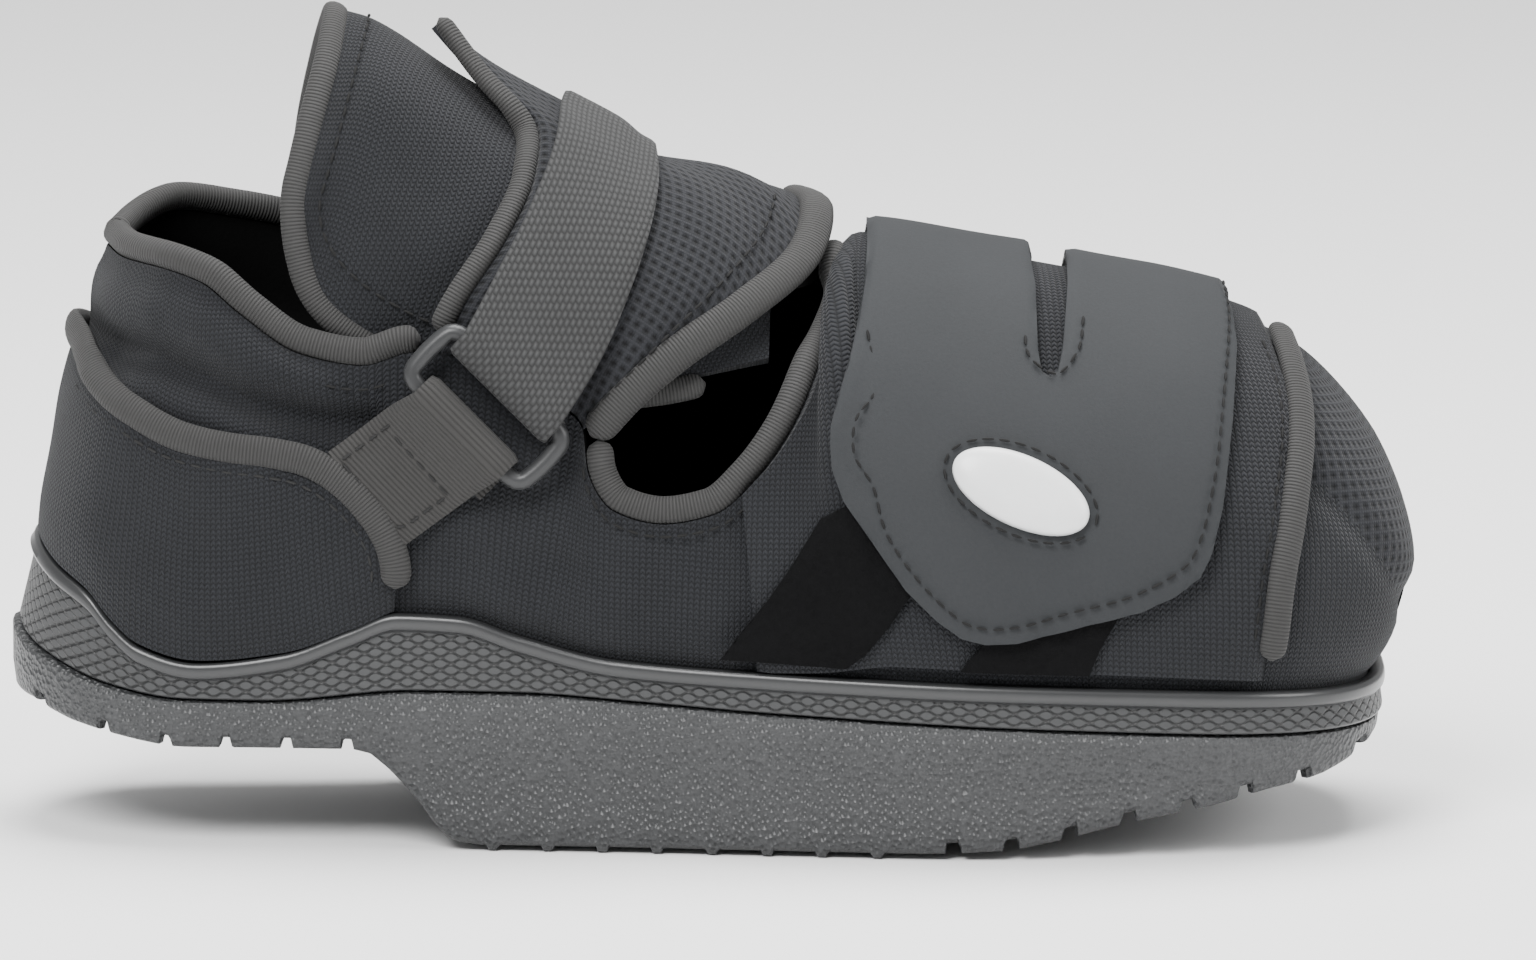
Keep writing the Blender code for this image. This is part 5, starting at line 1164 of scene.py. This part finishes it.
# Upper
def build_skin():
    """The padded wall of the upper, both sides welded to one closed shell."""
    vs = np.linspace(0, 1, SKIN_ROWS)
    half = np.unique(np.concatenate([np.linspace(0, 1, SKIN_STEPS), [JOIN_Q]]))
    points = []
    normals = []
    uvs = []
    faces = []
    looks = []
    for side in ("near", "far"):
        p, n, uv = skin(side, half, vs)
        xs = [edge(q)[0] for q in half]
        floor = np.array([min(floor_z(x), rim_z(x) - FLOOR_DROP) + 2 * GAP for x in xs])
        foot = p[:, 0].copy()
        foot[:, 2] = floor
        low = (p[:, 0] + foot) / 2
        p = np.concatenate([foot[:, None], low[:, None], p], axis=1)
        n = np.concatenate([n[:, :1], n[:, :1], n], axis=1)
        uv = np.concatenate([uv[:, :1] - [0, 4], uv[:, :1] - [0, 2], uv], axis=1)
        quads = grid_quads(*p.shape[:2]) + sum(len(a) for a in points)
        centre = (p[:-1, :-1] + p[1:, 1:]).reshape(-1, 3) / 2
        seam = np.array(TROUGHS[-1][2])
        above = centre[:, 2] > np.interp(centre[:, 0], seam[:, 0], seam[:, 1])
        if side == "far":
            quads = quads[:, ::-1]
        points.append(p.reshape(-1, 3))
        normals.append(n.reshape(-1, 3))
        uvs.append(uv.reshape(-1, 2))
        faces.append(quads)
        looks.append(np.where((centre[:, 0] > TOE_BOX * LENGTH) & above, 2, 0))
    points = np.concatenate(points)
    normals = np.concatenate(normals)
    uvs = np.concatenate(uvs)
    faces = np.concatenate(faces)
    looks = np.concatenate(looks)
    key = np.round(points / 0.002).astype(np.int64)
    _, first, index = np.unique(key, axis=0, return_index=True, return_inverse=True)
    index = index.reshape(-1)
    total = np.zeros((len(first), 3))
    np.add.at(total, index, normals)
    total /= np.linalg.norm(total, axis=1, keepdims=True)
    faces = index[faces]
    points = points[first]
    count = len(points)
    seen = {}
    for f in faces.tolist():
        for a, b in zip(f, f[1:] + f[:1]):
            seen[(a, b)] = True
    band = [(b, a, a + count, b + count) for a, b in seen if (b, a) not in seen and a != b]
    every = faces.tolist() + (faces[:, ::-1] + count).tolist() + band
    clean = []
    marks = []
    for f, mark in zip(every, looks.tolist() + [1] * len(faces) + [1] * len(band)):
        g = [v for k, v in enumerate(f) if v not in f[:k]]
        if len(g) > 2:
            clean.append(g)
            marks.append(mark)
    uvs = np.concatenate([uvs[first]] * 2)
    both = np.concatenate([points, points - total * WALL])
    add_piece("look_upper", both, clean, ["knit", "lining", "grid"], uvs, ["upper"], marks,
              sharp=60.0)


build_skin()


# Overlays: a dense form over the wall, thinner towards its outline, cut to the outline
def cut_to(ob, outline, near_y, far_y, crossing=False):
    """Keeps what lies inside an outline in side view, between two places across the shoe."""
    n = len(outline)
    pts = [(x * MM, y * MM, z * MM) for y in (near_y, far_y) for x, z in outline]
    faces = [tuple(range(n)), tuple(range(2 * n - 1, n - 1, -1))]
    faces += [(i, i + n, (i + 1) % n + n, (i + 1) % n) for i in range(n)]
    cutter = bpy.data.objects.new("cutter", outward_mesh("cutter", pts, faces))
    bpy.context.scene.collection.objects.link(cutter)
    mod = ob.modifiers.new("cut", "BOOLEAN")
    mod.operation = "INTERSECT"
    mod.solver = "EXACT"
    mod.object = cutter
    mod.use_self = crossing
    bpy.context.view_layer.update()
    result = bpy.data.meshes.new_from_object(ob.evaluated_get(bpy.context.evaluated_depsgraph_get()))
    ob.modifiers.clear()
    ob.data = result
    result.shade_smooth()
    result.set_sharp_from_angle(angle=math.radians(40.0))
    bpy.data.objects.remove(cutter, do_unlink=True)


def slanted(part, qs, starts):
    """The same sheet with each row starting at its own arc share."""
    out = [a.copy() for a in part]
    for j, start in enumerate(starts):
        at = np.linspace(start, qs[-1], len(qs))
        for a, b in zip(part, out):
            for c in range(a.shape[2]):
                b[:, j, c] = np.interp(at, qs, a[:, j, c])
    return tuple(out)


def side_line(table):
    """Points of a table in side view, in millimetres."""
    return [tuple(p) for p in sized(table, "xz")]


def overlay(name, spans, vs, lift, thickness, outline, near_y, far_y, look,
            taper=EDGE_TAPER, floor=0.5):
    """spans are runs of (side, arc shares, wall shares) laid end to end, along the arc or up and over."""
    parts = [skin(side, qs, rows, lift) for side, qs, rows in spans]
    axis = 1 if vs == "over" else 0
    if axis == 1:
        qs, first = spans[0][1], spans[0][2]
        parts[0] = slanted(parts[0], qs, JOIN_Q - (JOIN_Q - qs[0]) * np.clip((1 - first) / 0.6, 0, 1))
        parts[1] = slanted(parts[1], qs, [JOIN_Q] * len(spans[1][2]))
        parts[1] = tuple(a[:, ::-1][:, 1:] for a in parts[1])
        parts[1][2][..., 1] = parts[0][2][:, -1:, 1] + (parts[1][2][:, :1, 1] - parts[1][2][..., 1])
    elif len(parts) > 1:
        parts[0] = tuple(a[::-1][:-1] for a in parts[0])
        parts[0][2][..., 0] *= -1
    p, n, uv = [np.concatenate([part[k] for part in parts], axis=axis) for k in range(3)]
    for _ in range(OVER_EASE if axis else 0):
        for a in (p, n):
            a[:, 1:-1] = (a[:, :-2] + 2 * a[:, 1:-1] + a[:, 2:]) / 4
            a[1:-1] = (a[:-2] + 2 * a[1:-1] + a[2:]) / 4
    n = n / np.linalg.norm(n, axis=2, keepdims=True)
    d = line_distance(p[..., 0], p[..., 2], outline + outline[:1])
    grow = np.clip(d / taper, 0, 1)
    thick = thickness * (floor + (1 - floor) * np.sin(grow * math.pi / 2))
    ob = shell(name, p, n, uv, thick, [look], [name.replace("look_", "")], inward=False)
    cut_to(ob, outline, near_y, far_y, crossing=axis == 1)
    return ob


def dense(first, last, step=0.0035):
    return np.linspace(first, last, int((last - first) / step) + 2)


def over_line(outline, lift):
    return [on_wall(x, z, lift) for x, z in outline]


def inset_line(outline, aside):
    """Line inside an outline that is walked anticlockwise or clockwise."""
    pts = np.array(outline)
    area = np.sum(pts[:, 0] * np.roll(pts[:, 1], -1) - np.roll(pts[:, 0], -1) * pts[:, 1])
    t = np.roll(pts, -1, axis=0) - np.roll(pts, 1, axis=0)
    t /= np.linalg.norm(t, axis=1, keepdims=True)
    n = np.stack([-t[:, 1], t[:, 0]], axis=1) * (1 if area > 0 else -1)
    return pts + n * aside


OUT = -0.72 * BALL_WIDTH
rows = np.linspace(0.02, 0.9, 30)
heel_qs = dense(0.0, 0.31)
line = side_line(COUNTER)
outline = line + [(line[-1][0], BELOW_RIM), (line[0][0], BELOW_RIM)]
overlay("look_heel_counter", [("far", heel_qs, rows), ("near", heel_qs, rows)], "along", GAP, SHEET,
        outline, OUT, -OUT, "knit")

front = side_line(VAMP_FRONT)
rear = side_line(VAMP_REAR)
outline = rear[::-1] + [(front[0][0], rear[0][1])] + front
vamp_rows = np.linspace(0.03, 0.995, 44)
overlay("look_vamp_panel", [("near", dense(0.487, 0.975), vamp_rows)], "along", GAP, SHEET,
        outline, OUT, 2.0, "knit", floor=0.7)

for name, table in (("look_loop_patch_rear", PATCH_REAR), ("look_loop_patch_front", PATCH_FRONT)):
    outline = side_line(table)
    overlay(name, [("near", dense(0.46, 0.8, 0.005), np.linspace(0.03, 0.62, 24))], "along", PATCH_LIFT,
            PATCH_THICK, outline, OUT, 0.0, "pile", taper=1.5)

flap_outline = side_line(FLAP)
rows = np.linspace(0.03, 1.0, 44)
arm_rows = np.linspace(0.6, 1.0, 20)
flap_qs = dense(JOIN_Q - 0.03, 0.95)
overlay("look_forefoot_flap", [("near", flap_qs, rows), ("far", flap_qs, arm_rows)], "over", FLAP_LIFT,
        FLAP_THICK, flap_outline, OUT, ARM_REACH, "suede", taper=1.6, floor=0.6)


# Ankle flaps
def flap_sheet(side, name, look, back):
    """One padded ankle flap; returns its outer face."""
    fs = np.linspace(0, 1, FLAP_STEPS)
    bs = np.linspace(0, 1, FLAP_ROWS)
    p = np.array([[flowing(s, ctrl, b) for b in bs] for s, ctrl in (flap_controls(side, f) for f in fs)])
    n = grid_normals(p, 1.0 if side == "near" else -1.0)
    u, v = grid_lengths(p, 0), grid_lengths(p, 1)
    f, b = np.meshgrid(fs, bs, indexing="ij")
    rim = np.minimum(np.minimum(f, 1 - f) / FLAP_RIM, (1 - b) / FLAP_RIM)
    swell = 0.8 * np.sin(np.clip(rim, 0, 1) * math.pi / 2) - 0.6
    swell = swell + WAVE * np.sin(u / 5.3 + v / 8.0)
    p = p + n * (swell * np.clip(b / FLAP_RIM, 0, 1))[..., None]
    uv = np.stack([u, v], axis=2)
    node = name.replace("look_", "")
    shell(name, p, n, uv, np.full(u.shape, SHEET), [look, back], [node], flip=side == "far")
    return p


NEAR_SHEET = flap_sheet("near", "look_near_ankle_flap", "grid", "lining")
FAR_SHEET = flap_sheet("far", "look_far_ankle_flap", "knit", "lining")


# Bindings
def rim_outs(side, qs):
    return [wall_normal(side, q, 0.9) for q in qs]


def binding(name, path, outs, wide, thick, own=True):
    """Ribbed tape; one of its own takes the place of the CAD node that it is named after."""
    sweep("look_" + name, path, outs, wide, thick, "tape", [name] if own else [])


near_q = np.linspace(NEAR_ROOT[0] - 0.01, 0.0, 40)
far_q = np.linspace(0.004, FAR_ROOT[0] - 0.01, 30)
collar = rim_path("near", near_q, BINDING) + rim_path("far", far_q, BINDING)
outs = rim_outs("near", near_q) + rim_outs("far", far_q)
binding("collar_binding", collar, outs, BINDING + 0.4, BINDING + 0.2)

throat_q = np.linspace(NEAR_ROOT[1] + 0.004, JOIN_Q - 0.006, 60)
throat = rim_path("near", throat_q, BINDING)
binding("throat_binding", throat, rim_outs("near", throat_q), BINDING + 0.3, BINDING)

edge_line = sized(COUNTER, "xz")


def counter_side(side):
    out = []
    for x, z in resample([(x, 0.0, z) for x, z in edge_line[1:-1]], 4.0)[0][:, (0, 2)]:
        q, v = find_qv(x, z, side)
        out.append(wall(side, q, v) + wall_normal(side, q, v) * (GAP + 2.2))
    return out


far_side = counter_side("far")
near_side = counter_side("near")
behind = np.array([near_side[0][0] - 2.0, 0.0, float(edge_line[0][1])])
counter_path = far_side[::-1] + [behind] + near_side
outs = [np.array([-0.5 if abs(p[1]) < 25 else 0.0, np.sign(p[1]) if abs(p[1]) > 5 else 0.0, 0.1])
        for p in counter_path]
binding("counter_binding", counter_path, outs, COUNTER_BEAD + 1.5, COUNTER_BEAD)

path = bead_path(front[2:-1], 0.6, GAP + SHEET)
outs = [wall_normal("near", *find_qv(x, z)) for x, z in front[2:-1]]
binding("vamp_binding", path, outs, VAMP_BEAD + 1.4, VAMP_BEAD + 0.2)

steps = np.linspace(0.04, 1.0, 40)
path = [flap_edge("near", 0.0, b, (-1, 0), 0.2) for b in steps]
outs = [flap_normal("near", 0.0, b) for b in steps]
binding("near_flap_binding", path, outs, FLAP_BEAD + 1.0, FLAP_BEAD + 0.4)

steps = np.linspace(0.0, 0.99, 60)
path = [flap_edge("near", 1.0, b, (1, 0), 0.4) for b in steps]
outs = [flap_normal("near", 1.0, b) for b in steps]
binding("near_flap_front_binding", path, outs, FLAP_BEAD + 2.2, FLAP_BEAD + 0.7, own=False)

path = [flap_edge("far", 0.0, b, (-1, 0)) for b in np.linspace(0.1, 0.96, 24)]
outs = [flap_normal("far", 0.0, b) for b in np.linspace(0.1, 0.96, 24)]
path += [flap_edge("far", f, 1.0, (0, 1)) for f in np.linspace(0.06, 0.9, 24)]
outs += [flap_normal("far", f, 0.98) for f in np.linspace(0.06, 0.9, 24)]
binding("far_flap_binding", path, outs, FLAP_BEAD + 1.2, FLAP_BEAD + 0.3)


# Loop, strap and tab
centre, along, across, outward = local_frame(sized([LOOP_CENTRE], "xz")[0], -LOOP_LEAN, LOOP_RISE)
corner_l = LOOP_LENGTH / 2 - LOOP_CORNER
corner_w = LOOP_WIDTH / 2 - LOOP_CORNER
path = []
for cx, cy, start in ((corner_l, corner_w, 0), (-corner_l, corner_w, 90),
                      (-corner_l, -corner_w, 180), (corner_l, -corner_w, 270)):
    for k in range(6):
        a = math.radians(start + 18 * k)
        at = centre + along * (cx + LOOP_CORNER * math.cos(a))
        path.append(at + across * (cy + LOOP_CORNER * math.sin(a)))
sweep("look_strap_loop", path, outward, LOOP_BAR, LOOP_BAR, "loop", ["strap_loop"],
      closed=True)


def under_tree():
    """What the strap lies on, as it is drawn."""
    pts = []
    faces = []
    for p, flip in ((skin("near", dense(0.2, 0.42), np.linspace(0, 1, 24))[0], False),
                    (skin("far", dense(0.2, 0.56), np.linspace(0, 1, 24))[0], True),
                    (NEAR_SHEET, False), (FAR_SHEET, True)):
        quads = grid_quads(*p.shape[:2]) + len(pts)
        pts += [Vector(c) for c in p.reshape(-1, 3)]
        faces += (quads[:, ::-1] if flip else quads).tolist()
    return BVHTree.FromPolygons(pts, faces)


OVER = under_tree()


def lay(p, lift):
    hit, n = OVER.find_nearest(Vector(p))[:2]
    if n.dot(hit - Vector((hit.x, 0.0, 80.0))) < 0:
        n = -n
    return np.array(hit + n * lift), np.array(hit), np.array(n)


def band_sheet(name, rows, thickness, look, node):
    p = np.array(rows)
    n = grid_normals(p, 1.0)
    u, v = grid_lengths(p, 0), grid_lengths(p, 1)
    half = v[:, -1:] / 2
    inside = np.clip((half - np.abs(v - half)) / 1.2, 0, 1)
    thick = thickness * (0.35 + 0.65 * np.sqrt(inside))
    p = p + n * (thick / 2)[..., None]
    return shell(name, p, n, np.stack([u, v], axis=2), thick, [look], [node])


def ease_rows(rows, first):
    """Rows from first to the last but one, each drawn towards its neighbours."""
    rows[first:-1] = (rows[first - 1:-2] + 2 * rows[first:-1] + rows[first + 1:]) / 4


def fold_rows(shares, half, reach, way):
    """Rows of webbing folded round the loop, on its upper or its lower side."""
    fold = resample([(d, 0.0, h) for d, h in fold_path(reach)], FOLD_STEP)[0]
    return [[centre + along * s * half + across * (d * way) + outward * h for s in shares]
            for d, _, h in fold]


def build_strap():
    """Ankle strap, folded round the loop and laid over what it crosses."""
    half = STRAP_WIDTH / 2
    shares = np.linspace(-1, 1, 25)
    rows = fold_rows(shares, half, FOLD_REACH, 1)
    table = sized(STRAP, "xyzxyz")
    first = len(rows)
    lift = STRAP_SEAT + STRAP_THICK / 2
    for k in np.linspace(STRAP_START, len(STRAP) - 1, 84):
        ends = flowing(np.arange(len(table)), table, k)
        left, right = ends[:3], ends[3:]
        extra = 2.6 * max(0.0, 1 - (k - STRAP_START) / 1.3)
        row = []
        for s in shares:
            p = (left + right) / 2 + (right - left) / 2 * s
            row.append(lay(p, lift + extra)[0])
        rows.append(row)
    rows = np.array(rows)
    for _ in range(14):
        ease_rows(rows, first - 1)
        rows[first:, 1:-1] = (rows[first:, :-2] + 2 * rows[first:, 1:-1] + rows[first:, 2:]) / 4
    for i in range(first, len(rows)):
        for j in range(len(shares)):
            laid, hit, n = lay(rows[i, j], lift)
            if float(np.dot(rows[i, j] - hit, n)) < lift:
                rows[i, j] = laid
    for _ in range(3):
        ease_rows(rows, first)
    band_sheet("look_ankle_strap", rows, STRAP_THICK, "webbing", "ankle_strap")


build_strap()


def build_tab():
    """Tab that holds the loop; returns its rows and the first one behind the fold."""
    half = TAB_WIDTH / 2
    shares = np.linspace(-1, 1, 17)
    rows = fold_rows(shares, half, TAB_FOLD, -1)
    low, high = sized(TAB, "xz") + np.array(TAB_LONGER)
    begin = centre - across * (LOOP_WIDTH / 2 + 3.0)
    first = len(rows)
    for t in np.linspace(0.15, 1.0, 18):
        row = []
        for s in shares:
            start = begin + along * s * half
            share = (s + 1) / 2
            x = start[0] + (high[0] + (low[0] - high[0]) * share - start[0]) * t
            z = start[2] + (high[1] + (low[1] - high[1]) * share - start[2]) * t
            extra = 5.4 * max(0.0, 1 - t / 0.6) ** 1.5
            row.append(on_wall(x, z, TAB_SEAT + STRAP_THICK / 2 + extra))
        rows.append(row)
    rows = np.array(rows)
    for _ in range(4):
        ease_rows(rows, first)
    band_sheet("look_loop_tab", rows, STRAP_THICK, "tab", "loop_tab")
    return rows, first


TAB_ROWS, TAB_FIRST = build_tab()
box = [TAB_ROWS[i, 2] for i in range(TAB_FIRST + 4, len(TAB_ROWS) - 1)]
box += [TAB_ROWS[-2, j] for j in range(3, 14)]
box += [TAB_ROWS[i, 14] for i in range(len(TAB_ROWS) - 3, TAB_FIRST + 4, -1)]
box += [TAB_ROWS[TAB_FIRST + 5, j] for j in range(13, 3, -1)]
box = [p + outward * (STRAP_THICK / 2 + 0.12) for p in box]
stitches("look_tab_stitches", box, outward, "thread_grey", closed=True)


# Badge: a bare dome in a stitched ring
def build_badge():
    lift = FLAP_LIFT + FLAP_THICK + 0.15
    c, a, b, n = local_frame(sized([BADGE_CENTRE], "xz")[0], BADGE_LEAN, lift)
    steps, rings = BADGE_STEPS, BADGE_RINGS
    pts = []
    uv = []
    for k in range(rings + 1):
        turn = 0.5 * math.pi * k / rings
        share, rise = math.cos(turn) ** 0.55, math.sin(turn) * BADGE_RISE
        for i in range(steps):
            w = 2 * math.pi * i / steps
            p = a * 0.5 * BADGE_LENGTH * share * math.cos(w) + b * 0.5 * BADGE_WIDTH * share * math.sin(w)
            pts.append(c + p + n * rise)
            uv.append((p @ a, p @ b))
    pts += [p - n * (1.2 + BADGE_GAP) for p in pts[:steps]]
    uv += uv[:steps]
    low = (rings + 1) * steps
    around = [(i, (i + 1) % steps) for i in range(steps)]
    faces = [(k * steps + i, k * steps + j, (k + 1) * steps + j, (k + 1) * steps + i)
             for k in range(rings) for i, j in around]
    faces += [(low + i, low + j, j, i) for i, j in around]
    faces += [tuple(range(rings * steps, (rings + 1) * steps)), tuple(range(low, low + steps))[::-1]]
    add_piece("look_badge", pts, faces, ["badge"], uv, ["badge"])
    ring = []
    for i in range(48):
        w = 2 * math.pi * i / 48
        p = c + a * (0.5 * BADGE_LENGTH + BADGE_SEAM) * math.cos(w)
        p = p + b * (0.5 * BADGE_WIDTH + BADGE_SEAM) * math.sin(w)
        ring.append(p + n * (0.1 - 0.8 * abs(math.cos(w)) ** 2))
    stitches("look_badge_stitches", ring, n, closed=True)


build_badge()

# Stitched lines on the flap and the counter
eased = [p for p in inset_line(flap_outline, 3.4) if 24 < p[0] < 120 and p[1] < 112]
groups = []
for p in eased:
    if groups and np.hypot(*(p - groups[-1][-1])) < 26:
        groups[-1].append(p)
    else:
        groups.append([p])
for k, group in enumerate(g for g in groups if len(g) > 3):
    path = over_line(group, FLAP_LIFT + FLAP_THICK + 0.1)
    stitches(f"look_flap_stitches_{k + 1}", path, (0, -1, 0))

lip = inset_line(side_line(COUNTER) + [(-64.0, BELOW_RIM), (-150.0, BELOW_RIM)], 5.0)[2:-3]
stitches("look_counter_stitches", over_line(lip, GAP + SHEET + 0.2), (0, -1, 0), "thread_grey")


def wall_line(side, qs, v, lift):
    return [wall(side, q, v) + wall_normal(side, q, v) * lift for q in qs]


def flap_line(side, places, lift):
    return [flap_point(side, f, b) + flap_normal(side, f, b) * lift for f, b in places]


stitches("look_collar_stitches", wall_line("near", near_q[2:-1], 0.9, 1.1), (0, -1, 0.3))
stitches("look_throat_stitches", wall_line("near", throat_q[1:-2], 0.9, 0.9), (0, -1, 0.3))
lip = [(0.07, b) for b in np.linspace(0.12, 0.92, 30)] + [(f, 0.94) for f in np.linspace(0.1, 0.9, 24)]
stitches("look_far_flap_stitches", flap_line("far", lip, 0.7), (0, -1, 0.5))
lip = [(0.95, b) for b in np.linspace(0.03, 0.8, 36)]
stitches("look_near_flap_stitches", flap_line("near", lip, 0.6), (0, -1, 0.5))
stitches("look_vamp_stitches", bead_path(front[2:-1], -3.4, GAP + SHEET + 0.2), (0, -1, 0.2))


# Stage
def build_stage():
    mesh = bpy.data.meshes.new("floor")
    size = 6.0
    corners = [(-size, -size, 0), (size, -size, 0), (size, size, 0), (-size, size, 0)]
    mesh.from_pydata(corners, [], [(0, 1, 2, 3)])
    f = Finish("floor_pale", (0.9, 0.9, 0.9), 0.9)
    mesh.materials.append(f.material)
    floor = bpy.data.objects.new("floor", mesh)
    bpy.context.scene.collection.objects.link(floor)
    world = bpy.data.worlds.new("studio")
    bpy.context.scene.world = world
    world.use_nodes = True
    world.node_tree.nodes["Background"].inputs[0].default_value = (1, 1, 1, 1)
    world.node_tree.nodes["Background"].inputs[1].default_value = 0.6
    lamps = [("key", (-0.5, -1.1, 1.3), 0.9, 42.0), ("top", (0.1, 0.25, 1.5), 1.1, 44.0),
             ("side", (1.3, -0.5, 0.8), 0.8, 12.0)]
    aim = Vector((0.0, 0.0, 0.06))
    for name, place, size, watts in lamps:
        lamp = bpy.data.lights.new(name, "AREA")
        lamp.shape = "DISK"
        lamp.size = size
        lamp.energy = watts
        ob = bpy.data.objects.new(name, lamp)
        ob.location = place
        ob.rotation_euler = (aim - Vector(place)).to_track_quat("-Z", "Y").to_euler()
        bpy.context.scene.collection.objects.link(ob)
    camera = bpy.data.cameras.new("camera")
    camera.sensor_width = SENSOR
    camera.lens = SENSOR * CAMERA_AWAY / PICTURE_WIDTH
    camera.clip_end = 20.0
    ob = bpy.data.objects.new("camera", camera)
    rise = math.radians(CAMERA_RISE)
    away = np.array([0.0, -math.cos(rise), math.sin(rise)]) * CAMERA_AWAY
    ob.location = tuple((np.array(CAMERA_AT) + away) * MM)
    ob.rotation_euler = (math.pi / 2 - rise, 0.0, 0.0)
    bpy.context.scene.collection.objects.link(ob)
    bpy.context.scene.camera = ob


build_stage()
